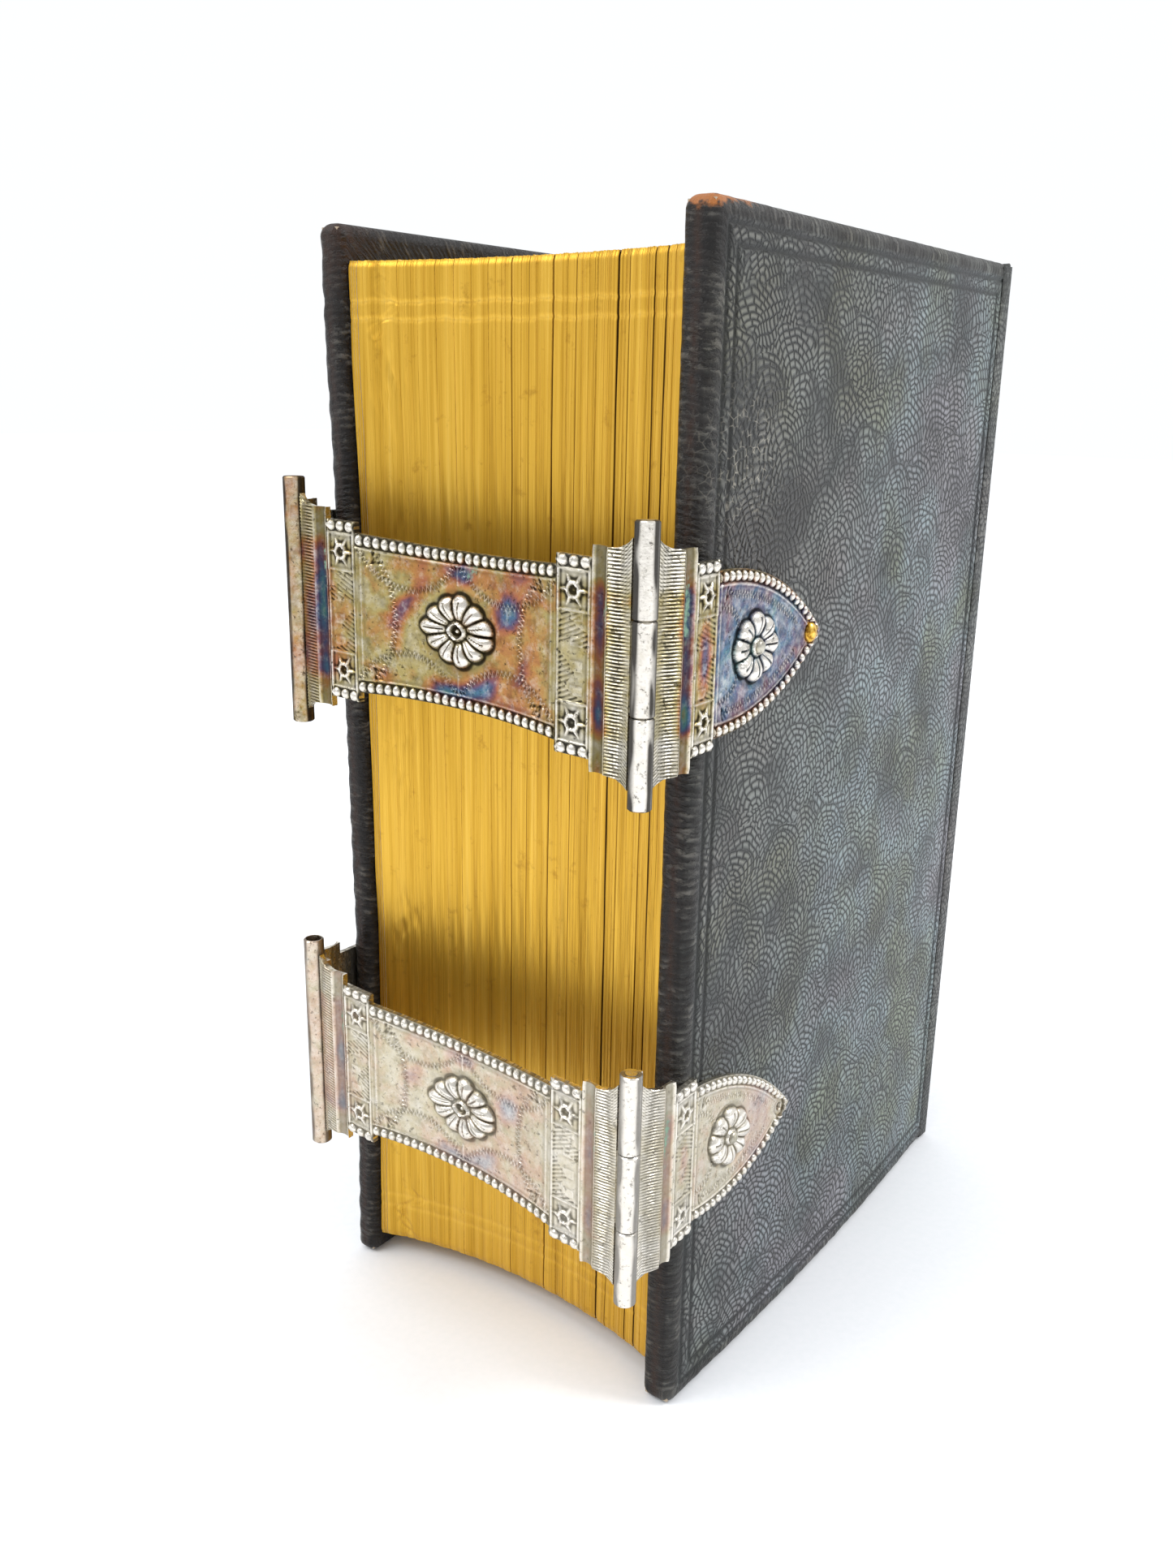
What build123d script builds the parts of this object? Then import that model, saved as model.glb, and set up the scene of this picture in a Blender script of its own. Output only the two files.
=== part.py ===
from build123d import *
import os
from math import sqrt

# A pocket prayer book standing on its tail, closed by two silver clasps.
# Millimetres. +Z runs from tail to head and +Y from fore-edge to spine. The front
# cover is on the -X side and the back cover on the +X side. The origin is at the
# middle of the book's footprint, on the surface it stands on.

# --- driving dimensions -------------------------------------------------------
BOOK_HEIGHT = 140.0
BOOK_THICKNESS = 52.7
COVER_DEPTH = 81.4  # fore-edge to joint
COVER_THICKNESS = 4.2
LEATHER = 0.5
COVER_ROUND = 1.4
TURN_IN = 5.0  # visible leather border inside each cover
PASTEDOWN = 0.3

SPINE_BULGE = 6.0
SPINE_LEATHER = 0.7
SPINE_LINING = 0.5
TAPE = 0.3
TAPE_WIDTH = 8.0
TAPE_HEIGHTS = (24.0, 52.0, 86.0, 114.0)
HEADBAND_RADIUS = 0.9

TEXT_TAIL = 3.0
TEXT_HEAD = 135.8
FORE_CORNER = 2.5  # text block's fore-edge behind the covers' edge, at its sides
FORE_MIDDLE = 5.8  # and at its middle
GATHERINGS = 20
FOLD_ROUND = 0.8  # how far each gathering's folded back stands out
FOLD_CLEARANCE = 0.15  # between the folds' crowns and the tapes
THREAD_RADIUS = 0.12
THREAD_SETBACK = 1.5  # threads behind the folds' surface, in thread radii
THREAD_SPAN = (18.0, 121.0)

LEAF = 0.12
LEAF_PITCH = 0.25
LEAF_SETBACK = 3.0  # outermost loose leaf's hinge, in front of the joint
LOOSE_LEAVES = 3
LEAF_GAP = 0.1  # between the cover and the first loose leaf

TUBE_RADIUS = 1.3
TUBE_LENGTH = 29.6
TUBE_FORWARD = 8.2  # hinge tube's axis in front of the fore-edge
TUBE_X = 24.9  # hinge tube's axis, on the back cover's side
CATCH_X = 25.3  # strap's end tube, on the front cover's side
PIN_RADIUS = 0.7
RUNNING_GAP = 0.04
KNUCKLE_GAP = 0.1
SHEET_GAP = 0.15
SHEET = 0.8
PLATE = 0.7

# Both metal leaves share their bands, as distances from the tube's axis
BAND_START = 1.2
RIDGE = 4.0
PANEL_START = 6.0
PANEL_END = 10.6
PLATE_TIP = 34.95
OGIVE_MIDDLE = 24.0
STRAP_SAG = 1.25
ROSETTE_HEIGHT = 0.5
STRAP_ROSETTE = 4.4
PLATE_ROSETTE = 3.2
RIVET_RADIUS = 0.45
TIP_PIN_HEAD = 0.95
RIVET_HEAD = 0.8
PIN_INSET = 2.7  # tip pin's centre from the plate's tip
FLOWER = 19.0  # plate flower's centre from the tube's axis

PIN_HEAD = 0.5
KNUCKLE_WEB = 0.6
STRAP_WEB_ANGLE = 180  # from the tube towards the strap
PLATE_WEB_ANGLE = 82  # and towards the plate
HEAD_ROUND = 0.9  # share of a pin head that is rounded
CATCH_LIP = 1.2

# Half heights of the leaves at their narrow panels and on either side of them
STRAP_PANEL_HALF = 10.5
STRAP_HALF = 9.3
STRAP_WAIST = 8.85
PLATE_PANEL_HALF = 10.2
BAND_END_HALF = 13.3  # half heights of the two bands, from the tube outwards
BAND_HOLLOW_HALF = 12.1
RIDGE_HALF = 11.7
BAND_EDGE_HALF = 11.9
HOLLOW_AT = 2.3  # where the band's hollow is measured, from the tube's axis
LIP_HALF = 11.0
PLATE_HALF = 9.0
OGIVE_HALF = 6.9

# Outer surfaces in plan: (distance from the tube's axis, stand-out). A strap's are
# in front of that axis, a plate's are outside the cover's face.
STRAP_LEVELS = ((BAND_START, 0.4), (RIDGE, 0.95), (PANEL_START, 0.75), (PANEL_END, 0.75))
HINGE_LEVELS = ((BAND_START, -1.1), (RIDGE, 0.5), (PANEL_START, PLATE), (PLATE_TIP + 1, PLATE))
CATCH_LEVELS = ((1.8, 0.3), (RIDGE, 0.5), (PANEL_START, PLATE), (PLATE_TIP + 1, PLATE))
CATCH_FALL = 0.0

# Heights of the two hinge centres, the straps' rise per millimetre towards their
# free ends, and the plates' fall per millimetre towards their tips
CLASPS = {
    "upper": {"height": 94.8, "rise": 0.034, "fall": 0.008},
    "lower": {"height": 34.9, "rise": 0.055, "fall": 0.15},
}

# --- places worked out from them ----------------------------------------------
HALF = BOOK_THICKNESS / 2
FORE_Y = (TUBE_FORWARD + TUBE_RADIUS - COVER_DEPTH - SPINE_BULGE) / 2
JOINT_Y = FORE_Y + COVER_DEPTH
TUBE_Y = FORE_Y - TUBE_FORWARD
STRAP_LENGTH = TUBE_X + CATCH_X
INNER_X = HALF - COVER_THICKNESS
SPINE_ARC = (HALF**2 + SPINE_BULGE**2) / (2 * SPINE_BULGE)
FORE_HOLLOW = FORE_MIDDLE - FORE_CORNER
FORE_ARC = (INNER_X**2 + FORE_HOLLOW**2) / (2 * FORE_HOLLOW)
SPINE_CENTRE_Y = JOINT_Y + SPINE_BULGE - SPINE_ARC
TAPE_ARC = SPINE_ARC - SPINE_LEATHER - SPINE_LINING
TEXT_ARC = TAPE_ARC - TAPE
FOLD_ARC = TEXT_ARC - FOLD_CLEARANCE
TEXT_HEIGHT = TEXT_HEAD - TEXT_TAIL
LEAVES_DEPTH = LOOSE_LEAVES * LEAF_PITCH + LEAF_GAP
BLOCK_X = INNER_X - LEAVES_DEPTH

os.makedirs("parts", exist_ok=True)


def save(part, label):
    """Labels a finished piece and writes it as its own file."""
    part.label = label
    export_step(part, f"parts/{label}.step")


def spine_y(x, radius):
    """Depth of a spine surface of the given radius at x."""
    return SPINE_CENTRE_Y + sqrt(radius**2 - x**2)


def fore_y(x):
    """Depth of the hollow fore-edge at x."""
    return FORE_Y + FORE_MIDDLE - FORE_ARC + sqrt(FORE_ARC**2 - x**2)


# --- covers ---------------------------------------------------------------------
def make_cover(side, name, pins):
    """One cover: board, leather with turn-ins, pastedown. side is -1 front, +1 back.

    pins lists the (y, z) places where shanks pass through the cover.
    """
    outer = side * HALF
    inner = side * INNER_X
    middle_x = (outer + inner) / 2
    middle_y = (FORE_Y + JOINT_Y) / 2
    board_thickness = COVER_THICKNESS - 2 * LEATHER
    board_depth = COVER_DEPTH - 2 * LEATHER
    board_height = BOOK_HEIGHT - 2 * LEATHER
    core = Plane((middle_x, middle_y, BOOK_HEIGHT / 2), x_dir=(0, 1, 0), z_dir=(1, 0, 0))
    shanks = [(y - middle_y, z - BOOK_HEIGHT / 2) for y, z in pins]

    with BuildPart() as board:
        with BuildSketch(core):
            Rectangle(board_depth, board_height)
        extrude(amount=board_thickness / 2, both=True)
        rounded = board.edges().filter_by(Axis.Y) + board.edges().filter_by(Axis.Z).group_by(Axis.Y)[0]
        fillet(rounded, COVER_ROUND - LEATHER)
        with BuildSketch(core):
            with Locations(*shanks):
                Circle(RIVET_RADIUS)
        extrude(amount=COVER_THICKNESS, both=True, mode=Mode.SUBTRACT)
    save(board.part, f"{name}_board")

    with BuildPart() as leather:
        with BuildSketch(core):
            Rectangle(COVER_DEPTH, BOOK_HEIGHT)
        extrude(amount=COVER_THICKNESS / 2, both=True)
        rounded = leather.edges().filter_by(Axis.Y) + leather.edges().filter_by(Axis.Z).group_by(Axis.Y)[0]
        fillet(rounded, COVER_ROUND)
        add(board.part, mode=Mode.SUBTRACT)
        with BuildSketch(Plane((inner, middle_y, BOOK_HEIGHT / 2), x_dir=(0, 1, 0), z_dir=(1, 0, 0))):
            Rectangle(COVER_DEPTH - 2 * TURN_IN, BOOK_HEIGHT - 2 * TURN_IN)
        extrude(amount=side * LEATHER, mode=Mode.SUBTRACT)
        with BuildSketch(core):
            with Locations(*shanks):
                Circle(RIVET_RADIUS)
        extrude(amount=COVER_THICKNESS, both=True, mode=Mode.SUBTRACT)
    save(leather.part, f"{name}_cover_leather")

    paper_plane = Plane(
        (inner + side * LEATHER, middle_y, BOOK_HEIGHT / 2), x_dir=(0, 1, 0), z_dir=(1, 0, 0)
    )
    with BuildPart() as pastedown:
        with BuildSketch(paper_plane):
            Rectangle(COVER_DEPTH - 2 * TURN_IN, BOOK_HEIGHT - 2 * TURN_IN)
        extrude(amount=-side * PASTEDOWN)
    save(pastedown.part, f"{name}_pastedown")


# --- text block -----------------------------------------------------------------
def make_gathering(left, right, name):
    """A sewn gathering: a slab with the fore-edge's hollow and a rounded folded back."""
    middle = (left + right) / 2
    with BuildPart() as gathering:
        with BuildSketch(Plane.XY.offset(TEXT_TAIL)):
            with BuildLine():
                front_left = (left, fore_y(left))
                front_right = (right, fore_y(right))
                back_left = (left, spine_y(left, FOLD_ARC) - FOLD_ROUND)
                back_right = (right, spine_y(right, FOLD_ARC) - FOLD_ROUND)
                ThreePointArc(front_left, (middle, fore_y(middle)), front_right)
                Line(front_right, back_right)
                ThreePointArc(back_right, (middle, spine_y(middle, FOLD_ARC)), back_left)
                Line(back_left, front_left)
            make_face()
        extrude(amount=TEXT_HEIGHT)
    save(gathering.part, name)


def make_leaf(side, number, name):
    """A loose leaf beside the block, hinged at its outer back corner."""
    outer = side * (INNER_X - LEAF_GAP - number * LEAF_PITCH)
    inner = outer - side * LEAF
    back = leaf_hinge(side, number)[1]
    with BuildPart() as leaf:
        with BuildSketch(Plane.XY.offset(TEXT_TAIL)):
            with BuildLine():
                Polyline(
                    (outer, fore_y(outer)), (outer, back), (inner, back), (inner, fore_y(inner)),
                    close=True,
                )
            make_face()
        extrude(amount=TEXT_HEIGHT)
    save(leaf.part, name)


def leaf_hinge(side, number):
    """Hinge line of a loose leaf; each lies a pitch in front of the one outside it."""
    x = side * (INNER_X - LEAF_GAP - number * LEAF_PITCH)
    return x, JOINT_Y - LEAF_SETBACK - number * LEAF_PITCH


pitch = 2 * BLOCK_X / GATHERINGS
lefts = [-BLOCK_X + number * pitch for number in range(GATHERINGS)]
for number, left in enumerate(lefts):
    make_gathering(left, left + pitch, f"gathering_{number + 1:02d}")
for number, leaf_name in enumerate(("flyleaf", "endleaf", "second_leaf")):
    make_leaf(-1, number, f"front_{leaf_name}")
    make_leaf(1, number, f"back_{leaf_name}")


# --- spine ------------------------------------------------------------------------
def make_spine_shell(radius, thickness, low, high, width, name, from_y):
    """Part of a shell that follows the rounded spine, within a width, behind from_y."""
    with BuildPart() as shell:
        with BuildSketch(Plane.XY.offset(low)):
            with Locations((0, SPINE_CENTRE_Y)):
                Circle(radius)
                Circle(radius - thickness, mode=Mode.SUBTRACT)
            with Locations((0, from_y + SPINE_ARC)):
                Rectangle(width, 2 * SPINE_ARC, mode=Mode.INTERSECT)
        extrude(amount=high - low)
    save(shell.part, name)


make_spine_shell(
    SPINE_ARC, SPINE_LEATHER, 0, BOOK_HEIGHT, BOOK_THICKNESS, "spine_leather", JOINT_Y + KNUCKLE_GAP
)
make_spine_shell(
    SPINE_ARC - SPINE_LEATHER, SPINE_LINING, TEXT_TAIL, TEXT_HEAD, 2 * INNER_X, "spine_lining", JOINT_Y
)

with BuildPart() as tapes:
    for height in TAPE_HEIGHTS:
        with BuildSketch(Plane.XY.offset(height - TAPE_WIDTH / 2)):
            with Locations((0, SPINE_CENTRE_Y)):
                Circle(TAPE_ARC)
                Circle(TEXT_ARC, mode=Mode.SUBTRACT)
            with Locations((0, SPINE_CENTRE_Y + TEXT_ARC)):
                Rectangle(2 * BLOCK_X, TEXT_ARC, mode=Mode.INTERSECT)
        extrude(amount=TAPE_WIDTH)
save(tapes.part, "sewing_tapes")

with BuildPart() as threads:
    thread_low, thread_high = THREAD_SPAN
    valleys = [(x, spine_y(x, TEXT_ARC) - THREAD_SETBACK * THREAD_RADIUS) for x in lefts[1:]]
    with BuildSketch(Plane.XY.offset(thread_low)):
        with Locations(*valleys):
            Circle(THREAD_RADIUS)
    extrude(amount=thread_high - thread_low)
save(threads.part, "sewing_threads")


def make_headband(height, name):
    """A rolled band that follows the spine at the head or the tail of the text block."""
    band_arc = TEXT_ARC - HEADBAND_RADIUS
    ends_x = BLOCK_X - HEADBAND_RADIUS
    with BuildPart() as headband:
        with BuildLine(Plane.XY.offset(height)) as route:
            ThreePointArc(
                (-ends_x, spine_y(ends_x, band_arc)),
                (0, spine_y(0, band_arc)),
                (ends_x, spine_y(ends_x, band_arc)),
            )
        with BuildSketch(Plane(origin=route.line @ 0, z_dir=route.line % 0)):
            Circle(HEADBAND_RADIUS)
        sweep()
    save(headband.part, name)


make_headband(TEXT_HEAD + HEADBAND_RADIUS, "head_headband")
make_headband(TEXT_TAIL - HEADBAND_RADIUS, "tail_headband")


# --- clasps -----------------------------------------------------------------------
def hollow_end(point, sign):
    """The two bands beside a tube, whose ends sweep up to it in a hollow curve."""
    ThreePointArc(
        point(BAND_START, sign * BAND_END_HALF),
        point(HOLLOW_AT, sign * BAND_HOLLOW_HALF),
        point(RIDGE, sign * RIDGE_HALF),
    )
    Line(point(RIDGE, sign * RIDGE_HALF), point(PANEL_START, sign * BAND_EDGE_HALF))


def knuckle_span(height, which):
    """Lower and upper end of hinge knuckle 0, 1 or 2."""
    third = TUBE_LENGTH / 3
    low = height - TUBE_LENGTH / 2 + which * third
    return low + KNUCKLE_GAP / 2, low + third - KNUCKLE_GAP / 2


def make_knuckle(height, which, web_angle):
    """One hinge knuckle, with the web that joins it to its leaf at web_angle."""
    low, high = knuckle_span(height, which)
    with BuildPart() as knuckle:
        with BuildSketch(Plane((TUBE_X, TUBE_Y, low)).rotated((0, 0, web_angle))):
            Circle(TUBE_RADIUS)
            with Locations((TUBE_RADIUS, 0)):
                Rectangle(2 * KNUCKLE_WEB, KNUCKLE_WEB)
        extrude(amount=high - low)
    return knuckle.part


def make_strap(clasp, height, rise):
    """A strap: a pressed sheet that hollows towards the book, knuckle to end tube."""
    middle = STRAP_LENGTH / 2
    knuckle = make_knuckle(height, 1, STRAP_WEB_ANGLE)

    def plan(distance, out):
        return TUBE_X - distance, TUBE_Y - out

    def front(distance, up):
        return TUBE_X - distance, height + up + rise * distance

    def far_front(distance, up):
        return front(STRAP_LENGTH - distance, up)

    with BuildPart() as strap:
        with BuildSketch(Plane.XY.offset(height - TUBE_LENGTH)):
            with BuildLine():
                for out in (0, -SHEET):
                    near = [plan(at, level + out) for at, level in STRAP_LEVELS]
                    far = [plan(STRAP_LENGTH - at, level + out) for at, level in STRAP_LEVELS]
                    Polyline(*near)
                    ThreePointArc(near[-1], plan(middle, STRAP_LEVELS[-1][1] - STRAP_SAG + out), far[-1])
                    Polyline(*far)
                start, level = STRAP_LEVELS[0]
                Line(plan(start, level), plan(start, level - SHEET))
                Line(plan(STRAP_LENGTH - start, level), plan(STRAP_LENGTH - start, level - SHEET))
            make_face()
        extrude(amount=2 * TUBE_LENGTH)
        with BuildSketch(Plane.XZ.offset(-TUBE_Y)):
            with BuildLine():
                for sign in (1, -1):
                    for point in (front, far_front):
                        hollow_end(point, sign)
                        Polyline(
                            point(PANEL_START, sign * BAND_EDGE_HALF),
                            point(PANEL_START, sign * STRAP_PANEL_HALF),
                            point(PANEL_END, sign * STRAP_PANEL_HALF),
                            point(PANEL_END, sign * STRAP_HALF),
                        )
                    ThreePointArc(
                        front(PANEL_END, sign * STRAP_HALF),
                        front(middle, sign * STRAP_WAIST),
                        far_front(PANEL_END, sign * STRAP_HALF),
                    )
                for point in (front, far_front):
                    Line(point(BAND_START, BAND_END_HALF), point(BAND_START, -BAND_END_HALF))
            make_face()
        extrude(amount=TUBE_LENGTH, both=True, mode=Mode.INTERSECT)
        rosette_y = TUBE_Y - STRAP_LEVELS[-1][1] + STRAP_SAG
        with BuildSketch(Plane.XZ.offset(-rosette_y - SHEET / 2)):
            with Locations(front(middle, 0)):
                Circle(STRAP_ROSETTE)
        extrude(amount=SHEET / 2 + ROSETTE_HEIGHT)
        with BuildSketch(Plane.XY.offset(height - TUBE_LENGTH)):
            with Locations((TUBE_X, TUBE_Y)):
                Circle(TUBE_RADIUS + SHEET_GAP)
        extrude(amount=2 * TUBE_LENGTH, mode=Mode.SUBTRACT)
        add(knuckle)
        end_height = height + rise * STRAP_LENGTH
        with BuildSketch(Plane.XY.offset(end_height - TUBE_LENGTH / 2)):
            with Locations((-CATCH_X, TUBE_Y)):
                Circle(TUBE_RADIUS)
        extrude(amount=TUBE_LENGTH)
        with BuildSketch(Plane.XY.offset(height - TUBE_LENGTH)):
            with Locations((TUBE_X, TUBE_Y)):
                Circle(PIN_RADIUS + RUNNING_GAP)
        extrude(amount=2 * TUBE_LENGTH, mode=Mode.SUBTRACT)
    save(strap.part, f"{clasp}_strap")


def plate_point(height, fall):
    """Turns (distance behind the tube's axis, height) into the cover face's (y, z)."""
    def point(distance, up):
        drop = fall * max(0, distance - PANEL_END)
        return TUBE_Y + distance, height + up - drop

    return point


def make_plate(side, height, fall, levels, name, knuckles):
    """A clasp plate on a cover: ogive leaf on the face, bands reaching past its edge."""
    point = plate_point(height, fall)
    start = levels[0][0]
    knuckle_pair = [make_knuckle(height, which, PLATE_WEB_ANGLE) for which in (0, 2)]

    def plan(distance, out):
        return side * (HALF + out), TUBE_Y + distance

    with BuildPart() as plate:
        with BuildSketch(Plane.XY.offset(height - TUBE_LENGTH)):
            outer = [plan(at, out) for at, out in levels]
            inner = [plan(at, out - PLATE) for at, out in reversed(levels)]
            with BuildLine():
                Polyline(*outer, *inner, close=True)
            make_face()
        extrude(amount=2 * TUBE_LENGTH)
        with BuildSketch(Plane.YZ.offset(side * HALF)):
            with BuildLine():
                for sign in (1, -1):
                    hollow_end(point, sign)
                    Polyline(
                        point(PANEL_START, sign * BAND_EDGE_HALF),
                        point(PANEL_START, sign * PLATE_PANEL_HALF),
                        point(PANEL_END, sign * PLATE_PANEL_HALF),
                        point(PANEL_END, sign * PLATE_HALF),
                    )
                    ThreePointArc(
                        point(PANEL_END, sign * PLATE_HALF),
                        point(OGIVE_MIDDLE, sign * OGIVE_HALF),
                        point(PLATE_TIP, 0),
                    )
                Line(point(BAND_START, BAND_END_HALF), point(BAND_START, -BAND_END_HALF))
            make_face()
        extrude(amount=TUBE_LENGTH, both=True, mode=Mode.INTERSECT)
        face = Plane.YZ.offset(side * HALF)
        with BuildSketch(face):
            with Locations(point(FLOWER, 0)):
                Circle(PLATE_ROSETTE)
        extrude(amount=side * (PLATE + ROSETTE_HEIGHT))
        with BuildSketch(face):
            with Locations(point(FLOWER, 0), point(PLATE_TIP - PIN_INSET, 0)):
                Circle(RIVET_RADIUS)
        extrude(amount=TUBE_LENGTH, both=True, mode=Mode.SUBTRACT)
        if knuckles:
            with BuildSketch(Plane.XY.offset(height - TUBE_LENGTH)):
                with Locations((TUBE_X, TUBE_Y)):
                    Circle(TUBE_RADIUS + SHEET_GAP)
            extrude(amount=2 * TUBE_LENGTH, mode=Mode.SUBTRACT)
            add(knuckle_pair)
            with BuildSketch(Plane.XY.offset(height - TUBE_LENGTH)):
                with Locations((TUBE_X, TUBE_Y)):
                    Circle(PIN_RADIUS + RUNNING_GAP)
            extrude(amount=2 * TUBE_LENGTH, mode=Mode.SUBTRACT)
        else:
            lip_low = side * (HALF - PLATE - CATCH_LIP)
            with BuildSketch(Plane.XY.offset(height - LIP_HALF)):
                with BuildLine():
                    Polyline(
                        (lip_low, TUBE_Y + start), (side * HALF, TUBE_Y + start),
                        (side * HALF, TUBE_Y + start + PLATE), (lip_low, TUBE_Y + start + PLATE),
                        close=True,
                    )
                make_face()
            extrude(amount=2 * LIP_HALF)
    save(plate.part, name)


def make_fasteners(side, places, standing_out, head_radius, name):
    """Round-headed pins driven through plate and cover, one solid each."""
    with BuildPart() as pins:
        face = Plane.YZ.offset(side * (HALF + standing_out))
        with BuildSketch(face):
            with Locations(*places):
                Circle(head_radius)
        extrude(amount=side * PIN_HEAD)
        crowns = pins.faces().filter_by(Axis.X).sort_by(Axis.X)
        crowns = crowns[-len(places):] if side > 0 else crowns[:len(places)]
        fillet(crowns.edges(), PIN_HEAD * HEAD_ROUND)
        with BuildSketch(face):
            with Locations(*places):
                Circle(RIVET_RADIUS)
        extrude(amount=-side * (standing_out + COVER_THICKNESS - LEATHER))
    save(pins.part, name)


tip_places = {-1: [], 1: []}
rivet_places = {-1: [], 1: []}
for clasp, about in CLASPS.items():
    height = about["height"]
    catch_height = height + about["rise"] * STRAP_LENGTH
    make_strap(clasp, height, about["rise"])
    make_plate(1, height, about["fall"], HINGE_LEVELS, f"{clasp}_hinge_plate", True)
    make_plate(-1, catch_height, CATCH_FALL, CATCH_LEVELS, f"{clasp}_catch_plate", False)
    for side, level, fall in ((1, height, about["fall"]), (-1, catch_height, CATCH_FALL)):
        place = plate_point(level, fall)
        rivet_places[side].append(place(FLOWER, 0))
        tip_places[side].append(place(PLATE_TIP - PIN_INSET, 0))
    with BuildPart() as hinge_pin:
        with BuildSketch(Plane.XY.offset(height - TUBE_LENGTH / 2)):
            with Locations((TUBE_X, TUBE_Y)):
                Circle(PIN_RADIUS)
        extrude(amount=TUBE_LENGTH)
    save(hinge_pin.part, f"{clasp}_hinge_pin")

make_cover(-1, "front", rivet_places[-1] + tip_places[-1])
make_cover(1, "back", rivet_places[1] + tip_places[1])
make_fasteners(-1, tip_places[-1], PLATE, TIP_PIN_HEAD, "front_tip_pins")
# The lower hinge plate has lost its tip pin: only the hole is left.
make_fasteners(1, tip_places[1][:1], PLATE, TIP_PIN_HEAD, "back_tip_pin")
make_fasteners(-1, rivet_places[-1], PLATE + ROSETTE_HEIGHT, RIVET_HEAD, "front_flower_rivets")
make_fasteners(1, rivet_places[1], PLATE + ROSETTE_HEIGHT, RIVET_HEAD, "back_flower_rivets")
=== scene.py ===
"""Clasped prayer book: leather covers, gilt page edges and two pressed silver clasps.

Lengths inside the functions are millimetres; a mesh gets metres. Heights run up the book
from the tail (0) to the head, depths from the fore-edge (low) to the spine (high).
"""

from math import asin, pi, radians, sqrt

import bmesh
import bpy
import numpy as np
from mathutils import Matrix, Vector


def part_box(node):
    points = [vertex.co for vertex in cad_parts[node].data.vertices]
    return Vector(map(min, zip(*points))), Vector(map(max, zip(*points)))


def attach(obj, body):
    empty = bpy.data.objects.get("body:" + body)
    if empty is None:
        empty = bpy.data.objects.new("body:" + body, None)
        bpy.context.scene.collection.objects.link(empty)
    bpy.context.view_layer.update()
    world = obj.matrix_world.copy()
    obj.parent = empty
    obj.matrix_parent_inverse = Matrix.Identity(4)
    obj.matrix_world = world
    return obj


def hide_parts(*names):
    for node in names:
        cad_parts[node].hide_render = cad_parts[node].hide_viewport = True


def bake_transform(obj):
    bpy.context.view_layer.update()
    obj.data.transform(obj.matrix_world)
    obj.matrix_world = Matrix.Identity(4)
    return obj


bl_info = {
    "name": "Clasped Prayer Book",
    "version": (1, 0, 0),
    "blender": (4, 5, 0),
    "location": "View3D > Sidebar > Prayer Book",
    "description": "Builds a leather prayer book with gilt edges and silver clasps",
    "category": "Object",
}

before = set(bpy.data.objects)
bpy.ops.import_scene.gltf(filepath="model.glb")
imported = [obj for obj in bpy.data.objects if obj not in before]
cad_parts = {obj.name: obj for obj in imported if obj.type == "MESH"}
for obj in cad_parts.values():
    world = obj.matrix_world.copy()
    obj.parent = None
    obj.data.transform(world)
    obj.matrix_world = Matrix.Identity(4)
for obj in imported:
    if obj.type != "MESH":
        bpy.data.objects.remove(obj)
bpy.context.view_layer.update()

MM = 0.001
MERGE = 1e-7  # metres; points nearer than this are one point


def box_mm(node):
    """Lowest and highest corner of a CAD node in millimetres."""
    return [np.array(corner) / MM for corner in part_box(node)]


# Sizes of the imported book, in millimetres.
COVER_LOW, COVER_HIGH = box_mm("back_cover_leather")
HALF, INNER_X = COVER_HIGH[0], COVER_LOW[0]
FORE_Y, JOINT_Y = COVER_LOW[1], COVER_HIGH[1]
HEIGHT = COVER_HIGH[2]
MIDDLE_Y, MIDDLE_Z = (FORE_Y + JOINT_Y) / 2, HEIGHT / 2
COVER_DEPTH = JOINT_Y - FORE_Y
BLOCK_X = box_mm("gathering_20")[1][0]
TEXT_TAIL, TEXT_HEAD = box_mm("gathering_20")[0][2], box_mm("gathering_20")[1][2]
SPINE_BACK = box_mm("spine_leather")[1][1]
SPINE_BULGE = SPINE_BACK - JOINT_Y
SPINE_ARC = (HALF**2 + SPINE_BULGE**2) / (2 * SPINE_BULGE)
SPINE_CENTRE_Y = SPINE_BACK - SPINE_ARC
GATHERINGS = sum(name.startswith("gathering_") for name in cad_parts)

# Thicknesses and roundings of the leather and the block, as the CAD has them.
LEATHER, SPINE_LEATHER = 0.5, 0.7
EDGE_ROUND = 1.4
TURN_IN = 5.0
FORE_CORNER, FORE_MIDDLE = 2.5, 5.8  # how deep the hollow fore-edge lies behind FORE_Y
FOLD_ROUND = 0.8
FOLD_ARC = SPINE_ARC - SPINE_LEATHER - 0.95
GILT_INSET = 0.3  # the gilding reaches this far round onto the pages' sides
GAUFFER_LINES = ((131.2, 129.2), (8.2, 10.0))  # heights of the tooled lines at head and tail
SPINE_FILLETS = (4.4, 6.0, HEIGHT - 4.4, HEIGHT - 6.0)

# Clasps: distances run along a strap or a plate from its tube's axis.
TUBE_RADIUS, TUBE_BORE = 1.3, 0.75
KNUCKLE_GAP = 0.1
SHEET, PLATE = 0.8, 0.7  # thickness of the straps and of the plates
BAND_FROM, RIDGE, PANEL_START, PANEL_END = 1.42, 4.0, 6.0, 10.6
PLATE_TIP, FLOWER, TIP_PIN = 34.95, 19.0, 32.25
STRAP_PANEL_HALF, STRAP_HALF, STRAP_WAIST = 10.5, 9.3, 8.85
PLATE_PANEL_HALF, PLATE_HALF = 10.2, 9.0
OGIVE_MIDDLE, OGIVE_HALF = 24.0, 6.9
STRAP_SAG = 1.25

# The camera, in metres, and its turn, tilt and roll in degrees.
CAMERA_PLACE = (0.09724, -0.15679, 0.12135)
CAMERA_TURN = (35.82, 16.40, 1.04)


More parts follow.
